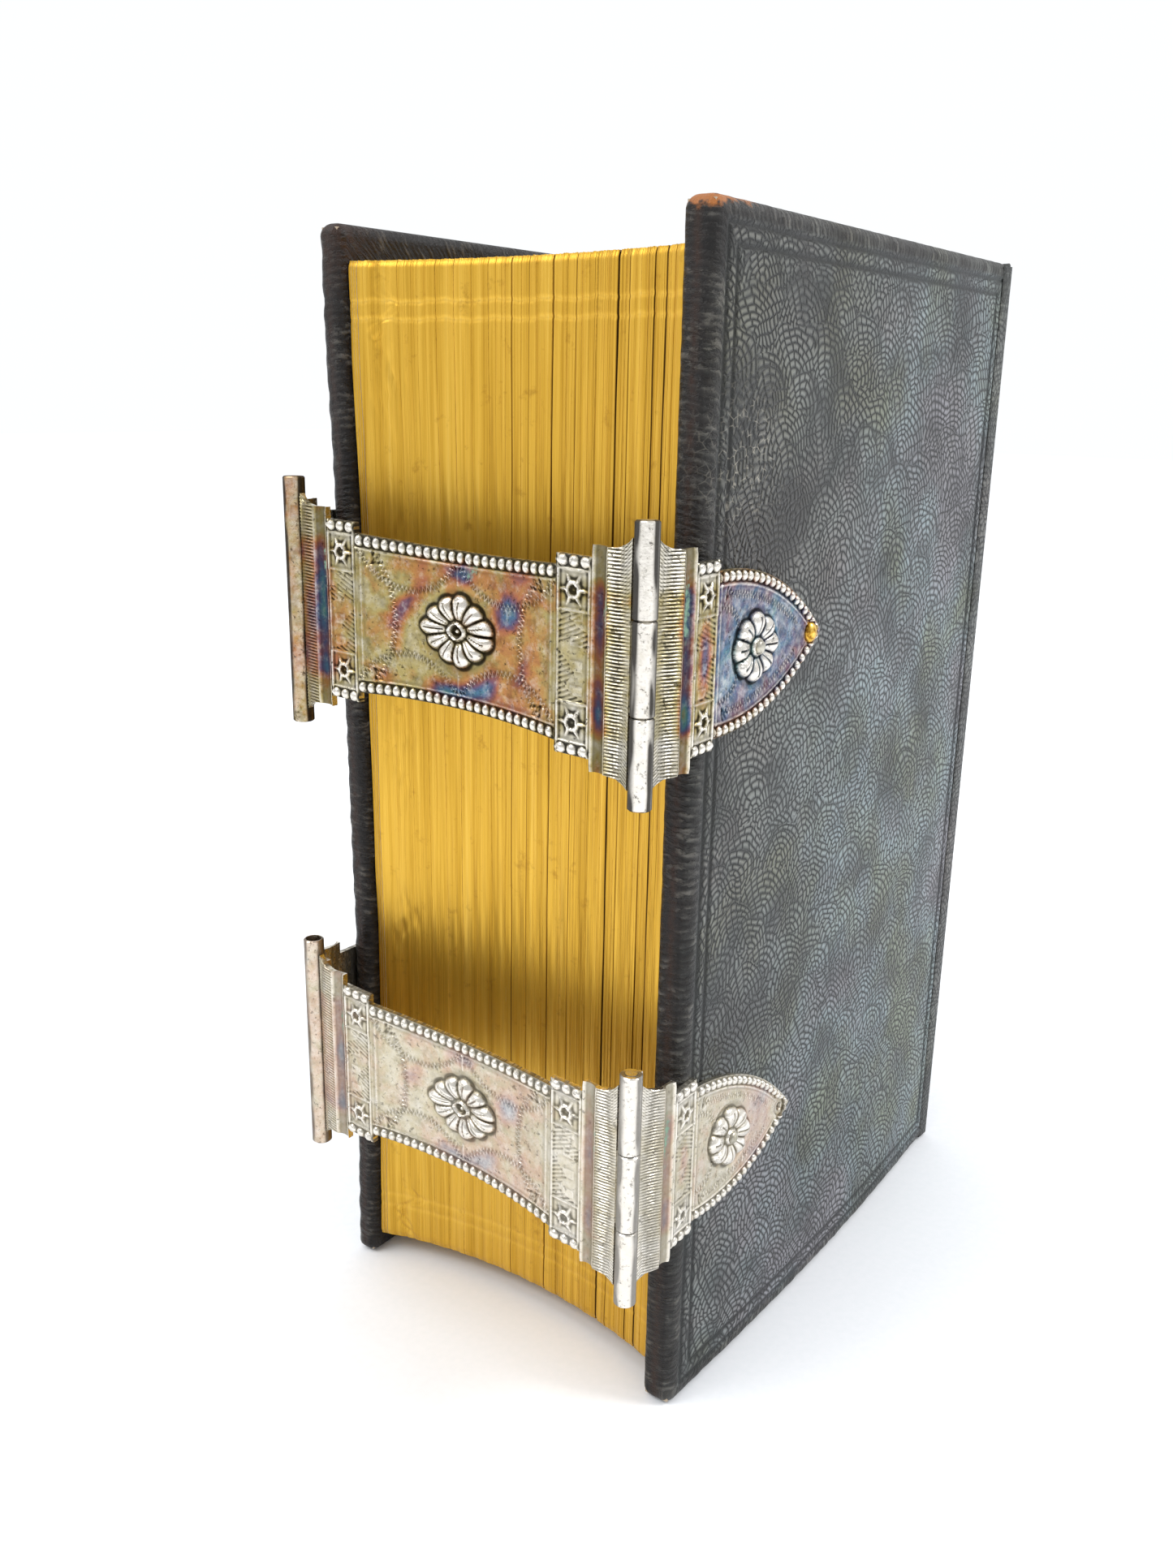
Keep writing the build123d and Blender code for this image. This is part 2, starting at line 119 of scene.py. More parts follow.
class Clasp:
    """Where one clasp sits, read from its hinge pin and its strap.

    Its hinge plate falls by a share of the way to its tip, and its strap rises to the catch.
    """

    def __init__(self, name, fall):
        low, high = box_mm(f"{name}_hinge_pin")
        strap_low = box_mm(f"{name}_strap")[0]
        self.name, self.fall = name, fall
        self.height = (low[2] + high[2]) / 2
        self.length = high[2] - low[2]
        self.tube_x, self.tube_y = (low[0] + high[0]) / 2, (low[1] + high[1]) / 2
        self.end_x = strap_low[0] + TUBE_RADIUS
        self.span = self.tube_x - self.end_x
        plate_low, plate_high = box_mm(f"{name}_catch_plate")
        self.catch_height = (plate_low[2] + plate_high[2]) / 2
        self.rise = (self.catch_height - self.height) / self.span


CLASPS = (Clasp("upper", 0.008), Clasp("lower", 0.15))


# --- settings a user may change -----------------------------------------------------
def colour_setting(name, description, default):
    """A colour property given as a web hex value."""
    return bpy.props.StringProperty(name=name, description=description, default=default)


def size_setting(name, description, default_mm):
    """A length property given in millimetres."""
    return bpy.props.FloatProperty(
        name=name, description=description, default=default_mm * MM, unit="LENGTH", min=0, precision=5
    )


class LeatherSettings(bpy.types.PropertyGroup):
    """Look and tooling of the leather."""

    dark: colour_setting("Leather", "Colour of the leather", "#171514")
    # Haze: the colour of the painted sheen on the leather's ridges.
    sheen_tint: colour_setting("Haze", "Bluish bloom on the dry leather", "#8b989c")
    tan: colour_setting("Worn", "Raw leather where the dye is rubbed off", "#a0622f")
    fan: size_setting("Fan spacing", "Distance between the grained fans", 8.2)
    dash: size_setting("Dash length", "Length of the short dashes of the grain", 0.8)
    fillet_outer: size_setting("Outer fillet", "Outer blind line from the edge", 2.5)
    fillet_inner: size_setting("Inner fillet", "Inner blind line from the edge", 4.4)
    flare: size_setting("Flare", "How far the front cover gapes at its head", 2.4)
    belly: size_setting("Belly", "How far the back cover bellies at its tail", 1.2)
    front_board: size_setting("Front board", "Thickness of the front cover", 3.5)


class PageSettings(bpy.types.PropertyGroup):
    """Look of the pages."""

    gold: colour_setting("Gold", "Gilding on the edges", "#e0b243")
    # Deep gold: the gilding in the painted shade between the leaves.
    deep: colour_setting("Deep gold", "Gilding between the leaves", "#8f6718")
    paper: colour_setting("Paper", "Paper of the leaves", "#e9dfc6")
    leaves: bpy.props.IntProperty(
        name="Leaves", description="Leaves in each gathering", default=16, min=2, max=40
    )


class SilverSettings(bpy.types.PropertyGroup):
    """Look of the clasps."""

    silver: colour_setting("Silver", "Rubbed high points", "#e6e0d6")
    bead: size_setting("Bead pitch", "Distance between the beads of the borders", 1.2)
    rib: size_setting("Rib pitch", "Distance between the ribs of the bands", 0.38)
    brass: colour_setting("Brass", "Pins at the plates' tips", "#e2b34a")


class StageSettings(bpy.types.PropertyGroup):
    """Floor, light and camera."""

    world: bpy.props.FloatProperty(
        name="Room light", description="Strength of the white room", default=1.0, min=0
    )
    lens: bpy.props.FloatProperty(
        name="Lens", description="Focal length in millimetres", default=30.55, min=1
    )


# --- surfaces -----------------------------------------------------------------------
def patch(x, y, z, closed="", **values):
    """A grid of points by row and column, closed round "rows" or "columns", with values."""
    points = np.stack(np.broadcast_arrays(x, y, z), axis=-1).astype(float)
    return {"points": points, "closed": closed, "values": values}


def quads(rows, columns, closed):
    """Corner numbers of a grid's quads, wrapping round where the grid is closed."""
    row = np.arange(rows if closed == "rows" else rows - 1)[:, None]
    column = np.arange(columns if closed == "columns" else columns - 1)[None, :]
    row_after, column_after = (row + 1) % rows, (column + 1) % columns
    corners = (
        row * columns + column,
        row_after * columns + column,
        row_after * columns + column_after,
        row * columns + column_after,
    )
    return np.stack(np.broadcast_arrays(*corners), axis=-1).reshape(-1, 4)


def rim(grid):
    """The points round a grid's border, in order."""
    return np.concatenate([grid[0, :-1], grid[:-1, -1], grid[-1, :0:-1], grid[:0:-1, 0]])


def slab(front, back):
    """A front and a back patch of the same shape, closed round their rim by a wall."""
    values = {
        name: np.stack([rim(np.broadcast_to(value, front["points"].shape[:2]))] * 2)
        for name, value in front["values"].items()
    }
    wall = np.stack([rim(front["points"]), rim(back["points"])])
    return [front, back, {"points": wall, "closed": "columns", "values": values}]


def plain_back(back):
    """The same back with one straight run from rim to rim in each row, fanned at both ends."""
    points = back["points"]
    values = {name: float(np.mean(value)) for name, value in back["values"].items()}
    parts = [patch(*np.moveaxis(points[1:-1][:, [0, -1]], -1, 0), **values)]
    near = np.arange(points.shape[1])[:, None] < points.shape[1] / 2
    for end, inner in ((0, 1), (-1, -2)):
        corner = np.where(near, points[inner, 0], points[inner, -1])
        parts.append(patch(*np.moveaxis(np.stack([points[end], corner], 1), -1, 0), **values))
    return parts


def make_piece(name, patches, material, body=None, stands_for=(), crease=38.0):
    """Joins patches into one closed mesh with its faces outwards, links it to the scene, hangs
    it on its body and hides the CAD parts it stands for.
    """
    corners, faces, start = [], [], 0
    for part in patches:
        rows, columns = part["points"].shape[:2]
        corners.append(part["points"].reshape(-1, 3))
        faces.append(quads(rows, columns, part["closed"]) + start)
        start += rows * columns
    mesh = bpy.data.meshes.new(name)
    points, loops = np.concatenate(corners) * MM, np.concatenate(faces)
    mesh.from_pydata(points.tolist(), [], loops.tolist())
    for value_name in sorted({key for part in patches for key in part["values"]}):
        values = [
            np.broadcast_to(part["values"].get(value_name, 0.0), part["points"].shape[:2]).ravel()
            for part in patches
        ]
        attribute = mesh.attributes.new(value_name, "FLOAT", "POINT")
        attribute.data.foreach_set("value", np.concatenate(values).astype(np.float32))
    shape = bmesh.new()
    shape.from_mesh(mesh)
    bmesh.ops.remove_doubles(shape, verts=shape.verts, dist=MERGE)
    bmesh.ops.recalc_face_normals(shape, faces=shape.faces)
    shape.to_mesh(mesh)
    shape.free()
    mesh.shade_smooth()
    mesh.set_sharp_from_angle(angle=radians(crease))
    mesh.materials.append(material)
    piece = bpy.data.objects.new(name, mesh)
    bpy.context.scene.collection.objects.link(piece)
    if body:
        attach(piece, body)
    if stands_for:
        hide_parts(*stands_for)
    return piece


def revolve(profile, place, steps=40, **values):
    """A closed profile of (radius, along) turned round an axis; place gives x, y, z."""
    radius, along = np.array(profile, float).T
    angle = np.linspace(0, 2 * pi, steps, endpoint=False)[None, :]
    across, up = radius[:, None] * np.cos(angle), radius[:, None] * np.sin(angle)
    x, y, z = place(across, up, along[:, None] + 0 * angle)
    spread = {key: np.asarray(value, float).reshape(-1, 1) + 0 * angle for key, value in values.items()}
    if "grimy" in spread:
        # Painted shade and painted dark reflections lie along the tube's sides, turned away from
        # the room's open side, in broken bands.
        open_side = radians(-54)
        turned = np.arctan2(np.sin(angle - open_side), np.cos(angle - open_side))
        length = along[:, None] + 0 * angle
        broken = np.clip(0.6 + 1.5 * blots(length, turned * 4, 7, 61), 0.1, 1)
        bands = hills(turned - 0.72, 0.22) + 0.85 * hills(turned + 0.85, 0.24)
        edges = np.clip(1 - 1.3 * np.cos(turned) ** 2, 0, 1)
        spread["crease"] = np.clip(spread.pop("grimy") * (bands * broken * 1.3 + edges), 0, 1)
    return patch(x, y, z, "columns", **spread)


def hills(distance, width):
    """A smooth bump of height 1 that fades within about twice its width."""
    return np.exp(-((distance / width) ** 2))


def dome(distance):
    """A half-round bump of height 1 that ends at distance 1."""
    return np.sqrt(np.clip(1 - distance**2, 0, 1))


def ripple(values, waves, seed):
    """A sum of sine waves of given (length, height) with random starts."""
    random = np.random.default_rng(seed)
    return sum(
        height * np.sin(2 * pi * values / length + random.uniform(0, 2 * pi)) for length, height in waves
    )


def blots(first, second, size, seed, count=5):
    """Smooth random patches between -1 and 1: crossed sine waves of about one size."""
    random = np.random.default_rng(seed)
    total = 0
    for _ in range(count):
        angle, start = random.uniform(0, 2 * pi, 2)
        length = size * random.uniform(0.7, 1.5)
        way = first * np.cos(angle) + second * np.sin(angle)
        total = total + np.sin(2 * pi * way / length + start)
    return total / count


# --- materials ----------------------------------------------------------------------
def linear(hex_colour):
    """A web hex colour as linear red, green, blue and alpha."""
    levels = [int(hex_colour[at:at + 2], 16) / 255 for at in (1, 3, 5)]
    return [v / 12.92 if v <= 0.04045 else ((v + 0.055) / 1.055) ** 2.4 for v in levels] + [1.0]


def add(tree, kind, inputs=(), operation=None, **settings):
    """Adds a node, sets its properties, and gives its inputs values, nodes or sockets.

    The inputs are a tuple in the node's own order, or a dictionary by name.
    """
    node = tree.nodes.new("ShaderNode" + kind)
    if operation:
        node.operation = operation
    for name, value in settings.items():
        setattr(node, name, value)
    for name, value in inputs.items() if isinstance(inputs, dict) else enumerate(inputs):
        socket = node.inputs[name]
        if isinstance(value, bpy.types.Node):
            value = value.outputs[0]
        if isinstance(value, bpy.types.NodeSocket):
            tree.links.new(value, socket)
        else:
            socket.default_value = value
    return node


def new_material(name):
    """An empty node material and its tree."""
    material = bpy.data.materials.new(name)
    material.use_nodes = True
    material.node_tree.nodes.clear()
    return material, material.node_tree


def surfaced(material, inputs):
    """The material, with a shader of these inputs on its output."""
    tree = material.node_tree
    add(tree, "OutputMaterial", {"Surface": add(tree, "BsdfPrincipled", inputs)})
    return material


def mottle(tree, place, scale, detail, spread, roughness=0.5):
    """Noise over a place, with two of its values mapped onto two others."""
    inputs = {"Vector": place, "Scale": scale, "Detail": detail, "Roughness": roughness}
    return add(tree, "MapRange", (add(tree, "TexNoise", inputs), *spread))


def painted(tree, colour, layers):
    """A colour with (share, hex colour) layers laid over it in turn."""
    for share, over in layers:
        inputs = {"Factor": share, "A": colour, "B": linear(over)}
        colour = add(tree, "Mix", inputs, data_type="RGBA").outputs[2]
    return colour


def set_ramp(node, stops):
    """Gives a colour ramp its (position, hex colour) stops."""
    ramp = node.color_ramp
    while len(ramp.elements) > 1:
        ramp.elements.remove(ramp.elements[-1])
    ramp.elements[0].position, ramp.elements[0].color = stops[0][0], linear(stops[0][1])
    for position, colour in stops[1:]:
        ramp.elements.new(position).color = linear(colour)


def material_named(name, build, *settings):
    """The material of that name, built with these settings on first use."""
    return bpy.data.materials.get(name) or build(name, *settings)


# What the leather's meshes say at each point: how near a blind line, how much of the
# border, the way round and across the edge, the way round the book, the painted sheen,
# and the grease, dryness and wear.
LEATHER_VALUES = (
    "tooled", "border", "around", "across", "girth", "bloom", "grease", "dry", "worn", "rubbed",
)


def grained_leather(name):
    """Goatskin, boarded and plated with fans of short dashes, blackened with iron dye.

    Gives the eye rows of pale dashes that fan out, a painted bluish sheen on the ridges
    and rubbed brown edges.
    """
    look = bpy.context.scene.book_leather
    material, tree = new_material(name)
    place = add(tree, "TexCoord").outputs["Object"]
    tooled, border, around, across, girth, bloom, grease, dry, worn, rubbed = (
        add(tree, "Attribute", attribute_name=value).outputs["Fac"] for value in LEATHER_VALUES
    )
    depth = add(tree, "VectorMath", (place, (1000, 1000, 1000)), "MULTIPLY")
    upright = add(tree, "SeparateXYZ", (depth,)).outputs[2]
    flat = add(tree, "CombineXYZ", {1: girth, 2: upright})
    drift = add(tree, "TexNoise", {"Vector": flat, "Scale": 0.12, "Detail": 2.0})
    drift = add(tree, "VectorMath", (drift.outputs["Color"], (0.5, 0.5, 0.5)), "SUBTRACT")
    drift = add(tree, "VectorMath", {0: drift, "Scale": 4.0}, "SCALE")
    bent = add(tree, "VectorMath", (flat, drift), "ADD")
    fan, dash = look.fan / MM, look.dash / MM
    dash_width = 1.3
    grain = None
    # Layers of arches: each cell's rings start from a point below its middle, and a
    # fan lies over the layers before it as far as its reach.
    layers = ((fan, None), (fan * 1.5, fan * 0.62), (fan * 1.35, fan * 0.5))
    for layer, (size, reach) in enumerate(layers):
        moved = add(tree, "VectorMath", (bent, (0, 37.0 * layer, 61.0 * layer)), "ADD")
        parts = add(tree, "SeparateXYZ", (moved,))
        plane = add(tree, "CombineXYZ", (parts.outputs[1], parts.outputs[2]))
        cells = add(
            tree, "TexVoronoi", {"Vector": plane, "Scale": 1 / size, "Randomness": 0.8},
            voronoi_dimensions="2D", feature="F1",
        )
        spoke = add(tree, "VectorMath", (plane, cells.outputs["Position"]), "SUBTRACT")
        spoke = add(tree, "VectorMath", (spoke, (0.08 * size, 0.34 * size, 0)), "ADD")
        radius = add(tree, "VectorMath", (spoke,), "LENGTH").outputs["Value"]
        spoke = add(tree, "SeparateXYZ", (spoke,))
        angle = add(tree, "Math", (spoke.outputs[1], spoke.outputs[0]), "ARCTAN2")
        ring = add(tree, "Math", (radius, dash), "DIVIDE")
        number = add(tree, "Math", (ring,), "FLOOR")
        turns = add(tree, "Math", (number, dash * pi / dash_width, 1.0), "MULTIPLY_ADD")
        swing = add(tree, "Math", (angle, turns), "MULTIPLY")
        swing = add(tree, "Math", (number, 2.39, swing), "MULTIPLY_ADD")
        out = add(tree, "Math", (ring, pi), "MULTIPLY")
        for step in ("SINE", "ABSOLUTE"):
            swing, out = (add(tree, "Math", (wave,), step) for wave in (swing, out))
        along = add(tree, "MapRange", (swing, 0.04, 0.5, 0.0, 1.0))
        height = add(tree, "Math", (along, out), "MULTIPLY")
        if grain is None:
            grain = height
        else:
            over = add(tree, "MapRange", (radius, reach - 0.12, reach + 0.12, 1.0, 0.0))
            above = add(tree, "MapRange", (spoke.outputs[1], -0.2, 0.2, 0.0, 1.0))
            over = add(tree, "Math", (over, above), "MULTIPLY")
            # A fan's rim presses a furrow into the fans behind it.
            furrow = add(tree, "MapRange", (radius, reach, reach + 0.6, 0.6, 0.0))
            furrow = add(tree, "Math", (furrow, above), "MULTIPLY")
            behind = add(tree, "Math", (1.0, furrow), "SUBTRACT")
            grain = add(tree, "Math", (grain, behind), "MULTIPLY")
            grain = add(tree, "Mix", {"Factor": over, "A": grain, "B": height}, data_type="FLOAT")
    # Wrinkles about a millimetre apart, drawn across the board's edges.
    edge_walk = add(tree, "CombineXYZ", (around, across))
    edge_long = add(tree, "VectorMath", (edge_walk, (1.0, 0.42, 0)), "MULTIPLY")
    wrinkle = add(tree, "TexVoronoi", {"Vector": edge_long, "Scale": 0.95}, feature="SMOOTH_F1")
    crumple = mottle(tree, edge_long, 1.3, 4.0, (0.3, 0.7, 0.0, 1.0), 0.65)
    wrinkle = add(tree, "MapRange", (wrinkle, 0.05, 0.6, 1.25, 0.0))
    # Short ticks a little under a millimetre apart cross the border, broken by the wrinkles.
    tick = add(tree, "Math", (around, pi / 0.85), "MULTIPLY")
    tick = add(tree, "Math", (crumple, 2.6, tick), "MULTIPLY_ADD")
    tick = add(tree, "Math", (across, 0.5, tick), "MULTIPLY_ADD")
    for step in ("SINE", "ABSOLUTE"):
        tick = add(tree, "Math", (tick,), step)
    fold = add(tree, "Mix", {"Factor": 0.5, "A": wrinkle, "B": tick}, data_type="FLOAT")
    fold = add(tree, "Math", (fold, crumple), "MULTIPLY")
    fold = add(tree, "Math", (fold, 1.5), "MULTIPLY")
    skin = add(tree, "Mix", {"Factor": border, "A": grain, "B": fold}, data_type="FLOAT")
    # The grain is flat in the tooled lines, and fainter where the skin was pressed less.
    calm = add(tree, "Math", (1.0, tooled), "SUBTRACT")
    press = mottle(tree, depth, 0.13, 3.0, (0.32, 0.6, 0.35, 1.0))
    calm = add(tree, "Math", (calm, press), "MULTIPLY")
    skin = add(tree, "Math", (skin, calm), "MULTIPLY")
    pores = add(tree, "TexNoise", {"Vector": depth, "Scale": 5.0, "Detail": 3.0})
    skin_and_pores = add(tree, "Math", (pores, 0.25, skin), "MULTIPLY_ADD")
    bump = add(tree, "Bump", {"Strength": 1.0, "Distance": 0.00034, "Height": skin_and_pores})

    # Colour: black pits of painted shade, and paler ridges under a painted bluish sheen with
    # faint green and purple casts.
    cloud = mottle(tree, depth, 0.1, 6.0, (0.34, 0.66, 0.4, 1.1), 0.65)
    sheen_share = add(tree, "Math", (bloom, cloud), "MULTIPLY")
    on_ridge = add(tree, "MapRange", (skin_and_pores, 0.22, 0.85, 0.22, 1.42))
    sheen_share = add(tree, "Math", (sheen_share, on_ridge), "MULTIPLY")
    # The grain's height sets its colour: pits darkened to black as painted shade, ridges paler.
    dark = add(tree, "ValToRGB", (skin_and_pores,))
    set_ramp(dark, [(0.12, "#020202"), (0.5, look.dark), (1.0, "#57534d")])
    cast_noise = add(tree, "TexNoise", {"Vector": depth, "Scale": 0.06, "Detail": 3.0})
    sheen_colour = add(tree, "ValToRGB", (cast_noise,))
    set_ramp(sheen_colour, [(0.34, "#7f8778"), (0.48, look.sheen_tint), (0.64, "#8b8a90")])
    # Towards the fore-edge the painted sheen is fainter and warmer in colour.
    warm_sheen = add(tree, "MapRange", (bloom, 0.3, 0.7, 0.5, 0.0))
    sheen_colour = painted(tree, sheen_colour, [(warm_sheen, "#8f8b79")])
    colour = add(tree, "Mix", {"Factor": sheen_share, "A": dark, "B": sheen_colour}, data_type="RGBA")
    # A net of fine pale cracks where the leather is dry, and rubbed and worn places.
    net = add(tree, "TexVoronoi", {"Vector": depth, "Scale": 1.0}, feature="DISTANCE_TO_EDGE")
    net = add(tree, "MapRange", (net, 0.02, 0.08, 1.0, 0.0))
    net_noise = mottle(tree, depth, 0.8, 2.0, (0.45, 0.62, 0.0, 0.8))
    net = add(tree, "Math", (net, dry), "MULTIPLY")
    net = add(tree, "Math", (net, net_noise), "MULTIPLY")
    rub = mottle(tree, depth, 1.1, 4.0, (0.3, 0.7, 0.3, 1.4))
    rubbed = add(tree, "Math", (rubbed, rub), "MULTIPLY", use_clamp=True)
    worn = add(tree, "Math", (worn, rub), "MULTIPLY")
    worn = add(tree, "MapRange", (worn, 0.35, 0.75, 0.0, 1.0))
    colour = painted(tree, colour.outputs[2], (
        (grease, "#15100d"), (net, "#a8a294"), (rubbed, "#2c1a10"), (worn, look.tan),
    ))
    shine = mottle(tree, depth, 0.2, 3.0, (0.3, 0.7, 0.34, 0.5))
    shine = add(tree, "Math", (grease, -0.12, shine), "MULTIPLY_ADD")
    return surfaced(material, {
        "Base Color": colour, "Roughness": shine, "IOR": 1.48,
        "Specular IOR Level": 0.3, "Normal": bump,
    })


def gilt_edge(name):
    """Gold leaf burnished on paper edges: satin gold in fine upright lines, darkened between
    the leaves with painted shade.
    """
    look = bpy.context.scene.book_pages
    material, tree = new_material(name)
    coords = add(tree, "TexCoord")
    place = add(tree, "VectorMath", {0: coords.outputs["Object"], "Scale": 1000.0}, "SCALE")
    streaks = add(tree, "VectorMath", (place, (7.5, 0.6, 0.035)), "MULTIPLY")
    lines = add(tree, "TexNoise", {"Vector": streaks, "Scale": 1.0, "Detail": 3.0, "Roughness": 0.7})
    broad = add(tree, "VectorMath", (place, (1.1, 0.2, 0.02)), "MULTIPLY")
    broad = add(tree, "TexNoise", {"Vector": broad, "Scale": 1.0, "Detail": 3.0})
    gap = add(tree, "Attribute", attribute_name="gap").outputs["Fac"]
    tone = add(tree, "Math", (lines, 0.36, 0.1), "MULTIPLY_ADD")
    tone = add(tree, "Math", (broad, 0.45, tone), "MULTIPLY_ADD")
    # Painted shade darkens the gold in the furrows between the leaves; the tooled lines come out
    # lighter.
    tone = add(tree, "Math", (gap, -0.42, tone), "MULTIPLY_ADD")
    gold = add(tree, "ValToRGB", (tone,))
    set_ramp(gold, [
        (0.0, "#3f2a0c"), (0.22, look.deep), (0.42, "#c99a2e"), (0.56, look.gold), (0.8, "#ecc766"),
    ])
    # Worn spots where the paper shows, and brown thumb marks.
    spots = mottle(tree, place, 0.35, 5.0, (0.6, 0.74, 0.0, 0.55), 0.7)
    gold = painted(tree, gold, [(spots, "#9a6a17")])
    paper_fibre = add(tree, "TexNoise", {"Vector": place, "Scale": 3.0, "Detail": 4.0})
    paper = add(tree, "ValToRGB", (paper_fibre,))
    set_ramp(paper, [(0.3, "#d8ccae"), (0.7, look.paper)])
    # Only faces that look up, down or forwards are gilt; the pages' sides are paper.
    normal = add(tree, "SeparateXYZ", (coords.outputs["Normal"],))
    upward = add(tree, "Math", (normal.outputs[2],), "ABSOLUTE")
    forward = add(tree, "Math", (normal.outputs[1], -1.0), "MULTIPLY")
    edge = add(tree, "Math", (upward, forward), "MAXIMUM")
    edge = add(tree, "MapRange", (edge, 0.2, 0.4, 0.0, 1.0))
    colour = add(tree, "Mix", {"Factor": edge, "A": paper, "B": gold}, data_type="RGBA")
    metal = add(tree, "Math", (edge, 0.78), "MULTIPLY")
    gloss = add(tree, "MapRange", (lines, 0.3, 0.7, 0.46, 0.32))
    paper_side = add(tree, "Math", (1.0, edge), "SUBTRACT")
    gloss = add(tree, "Math", (paper_side, 0.45, gloss), "MULTIPLY_ADD")
    bump = add(tree, "Bump", {"Strength": 0.35, "Distance": 0.00006, "Height": lines})
    return surfaced(material, {
        "Base Color": colour.outputs[2], "Metallic": metal, "Roughness": gloss, "Normal": bump,
    })


# Interference colours of silver sulphide as the film thickens.
TARNISH = [
    (0.0, "#c6c1b2"), (0.12, "#b0a684"), (0.22, "#a08f52"), (0.32, "#a97634"), (0.42, "#9c5836"),
    (0.5, "#6c3f50"), (0.58, "#42456a"), (0.66, "#366280"), (0.74, "#45807c"), (0.82, "#737f5a"),
    (0.91, "#84744f"), (1.0, "#5a4334"),
]


def tarnished_silver(name, strength, shade_and_dirt):
    """Pressed and engraved silver: bright rubbed beads over rainbow sulphide, with dark grime
    and painted shade in the hollows.

    Strength is how far the tarnish veils the silver; the last setting is how dark the grime
    and the painted shade in its hollows are.
    """
    look = bpy.context.scene.book_silver
    material, tree = new_material(name)
    place = add(tree, "TexCoord").outputs["Object"]
    place = add(tree, "VectorMath", {0: place, "Scale": 1000.0}, "SCALE")
    film, polish, relief, crease, verdigris = (
        add(tree, "Attribute", attribute_name=value).outputs["Fac"]
        for value in ("film", "polish", "relief", "crease", "verdigris")
    )
    # The film's thickness sets its interference colour; rubbing bares the silver.
    cloud = add(tree, "TexNoise", {
        "Vector": place, "Scale": 0.28, "Detail": 4.0, "Roughness": 0.6, "Distortion": 0.6,
    })
    cloud = add(tree, "MapRange", (cloud, 0.0, 1.0, -0.24, 0.24))
    thick = add(tree, "Math", (film, cloud), "ADD")
    rainbow = add(tree, "ValToRGB", (thick,))
    set_ramp(rainbow, TARNISH)
    clean = mottle(tree, place, 0.9, 5.0, (0.3, 0.75, -0.3, 0.35), 0.7)
    clean = add(tree, "Math", (polish, clean), "ADD", use_clamp=True)
    veil = add(tree, "Math", (clean, -strength, strength), "MULTIPLY_ADD")
    colour = add(
        tree, "Mix", {"Factor": veil, "A": linear(look.silver), "B": rainbow}, data_type="RGBA"
    )
    # Grime and painted shade lie in the creases, where the relief sinks below its level, and
    # on the tubes' sides; grime lies in the pits, soot on the film, verdigris in crusts.
    deep = add(tree, "MapRange", (relief, -0.2, -0.05, 0.6, 0.0))
    hollow = add(tree, "Math", (crease, deep), "MAXIMUM")
    pits = mottle(tree, place, 1.6, 6.0, (0.57, 0.65, 0.0, 0.85), 0.75)
    grime_and_shade = add(tree, "Math", (hollow, pits), "MAXIMUM")
    soot = mottle(tree, place, 0.5, 6.0, (0.48, 0.7, 0.0, 0.55), 0.7)
    soot = add(tree, "Math", (soot, veil), "MULTIPLY")
    grime_and_shade = add(tree, "Math", (grime_and_shade, soot), "MAXIMUM")
    grime_and_shade = add(tree, "Math", (grime_and_shade, shade_and_dirt), "MULTIPLY")
    crust = add(tree, "TexNoise", {"Vector": place, "Scale": 1.4, "Detail": 5.0, "Roughness": 0.7})
    crust = add(tree, "Math", (crust, verdigris), "MULTIPLY")
    crust = add(tree, "MapRange", (crust, 0.38, 0.52, 0.0, 0.9))
    colour = painted(tree, colour.outputs[2], ((grime_and_shade, "#120d0a"), (crust, "#7fa08a")))
    wiping = add(tree, "VectorMath", (place, (3.0, 3.0, 14.0)), "MULTIPLY")
    scratches = add(tree, "TexNoise", {"Vector": wiping, "Scale": 1.0, "Detail": 3.0})
    rough = add(tree, "MapRange", (scratches, 0.3, 0.7, 0.24, 0.38))
    rough = add(tree, "Math", (clean, -0.14, rough), "MULTIPLY_ADD")
    rough = add(tree, "Math", (grime_and_shade, 0.35, rough), "MULTIPLY_ADD")
    rough = add(tree, "Math", (crust, 0.4, rough), "MULTIPLY_ADD", use_clamp=True)
    dulled = add(tree, "Math", (crust, -0.9, 1.0), "MULTIPLY_ADD")
    dents = add(tree, "TexNoise", {"Vector": place, "Scale": 1.1, "Detail": 4.0, "Roughness": 0.6})
    dents = add(tree, "Math", (pits, -0.6, dents), "MULTIPLY_ADD")
    bump = add(tree, "Bump", {"Strength": 0.5, "Distance": 0.0001, "Height": dents})
    return surfaced(material, {
        "Base Color": colour, "Metallic": dulled, "Roughness": rough, "Normal": bump,
    })


def worn_brass(name):
    """Turned brass: warm yellow, mottled paler, brown in its pores."""
    look = bpy.context.scene.book_silver
    material, tree = new_material(name)
    place = add(tree, "TexCoord").outputs["Object"]
    spots = add(tree, "TexNoise", {"Vector": place, "Scale": 1800.0, "Detail": 4.0})
    colour = add(tree, "ValToRGB", (spots,))
    set_ramp(colour, [(0.35, "#8a5f22"), (0.5, look.brass), (0.7, "#f2cf73")])
    bump = add(tree, "Bump", {"Strength": 0.3, "Distance": 0.00005, "Height": spots})
    return surfaced(material, {
        "Base Color": colour, "Metallic": 1.0, "Roughness": 0.28, "Normal": bump,
    })


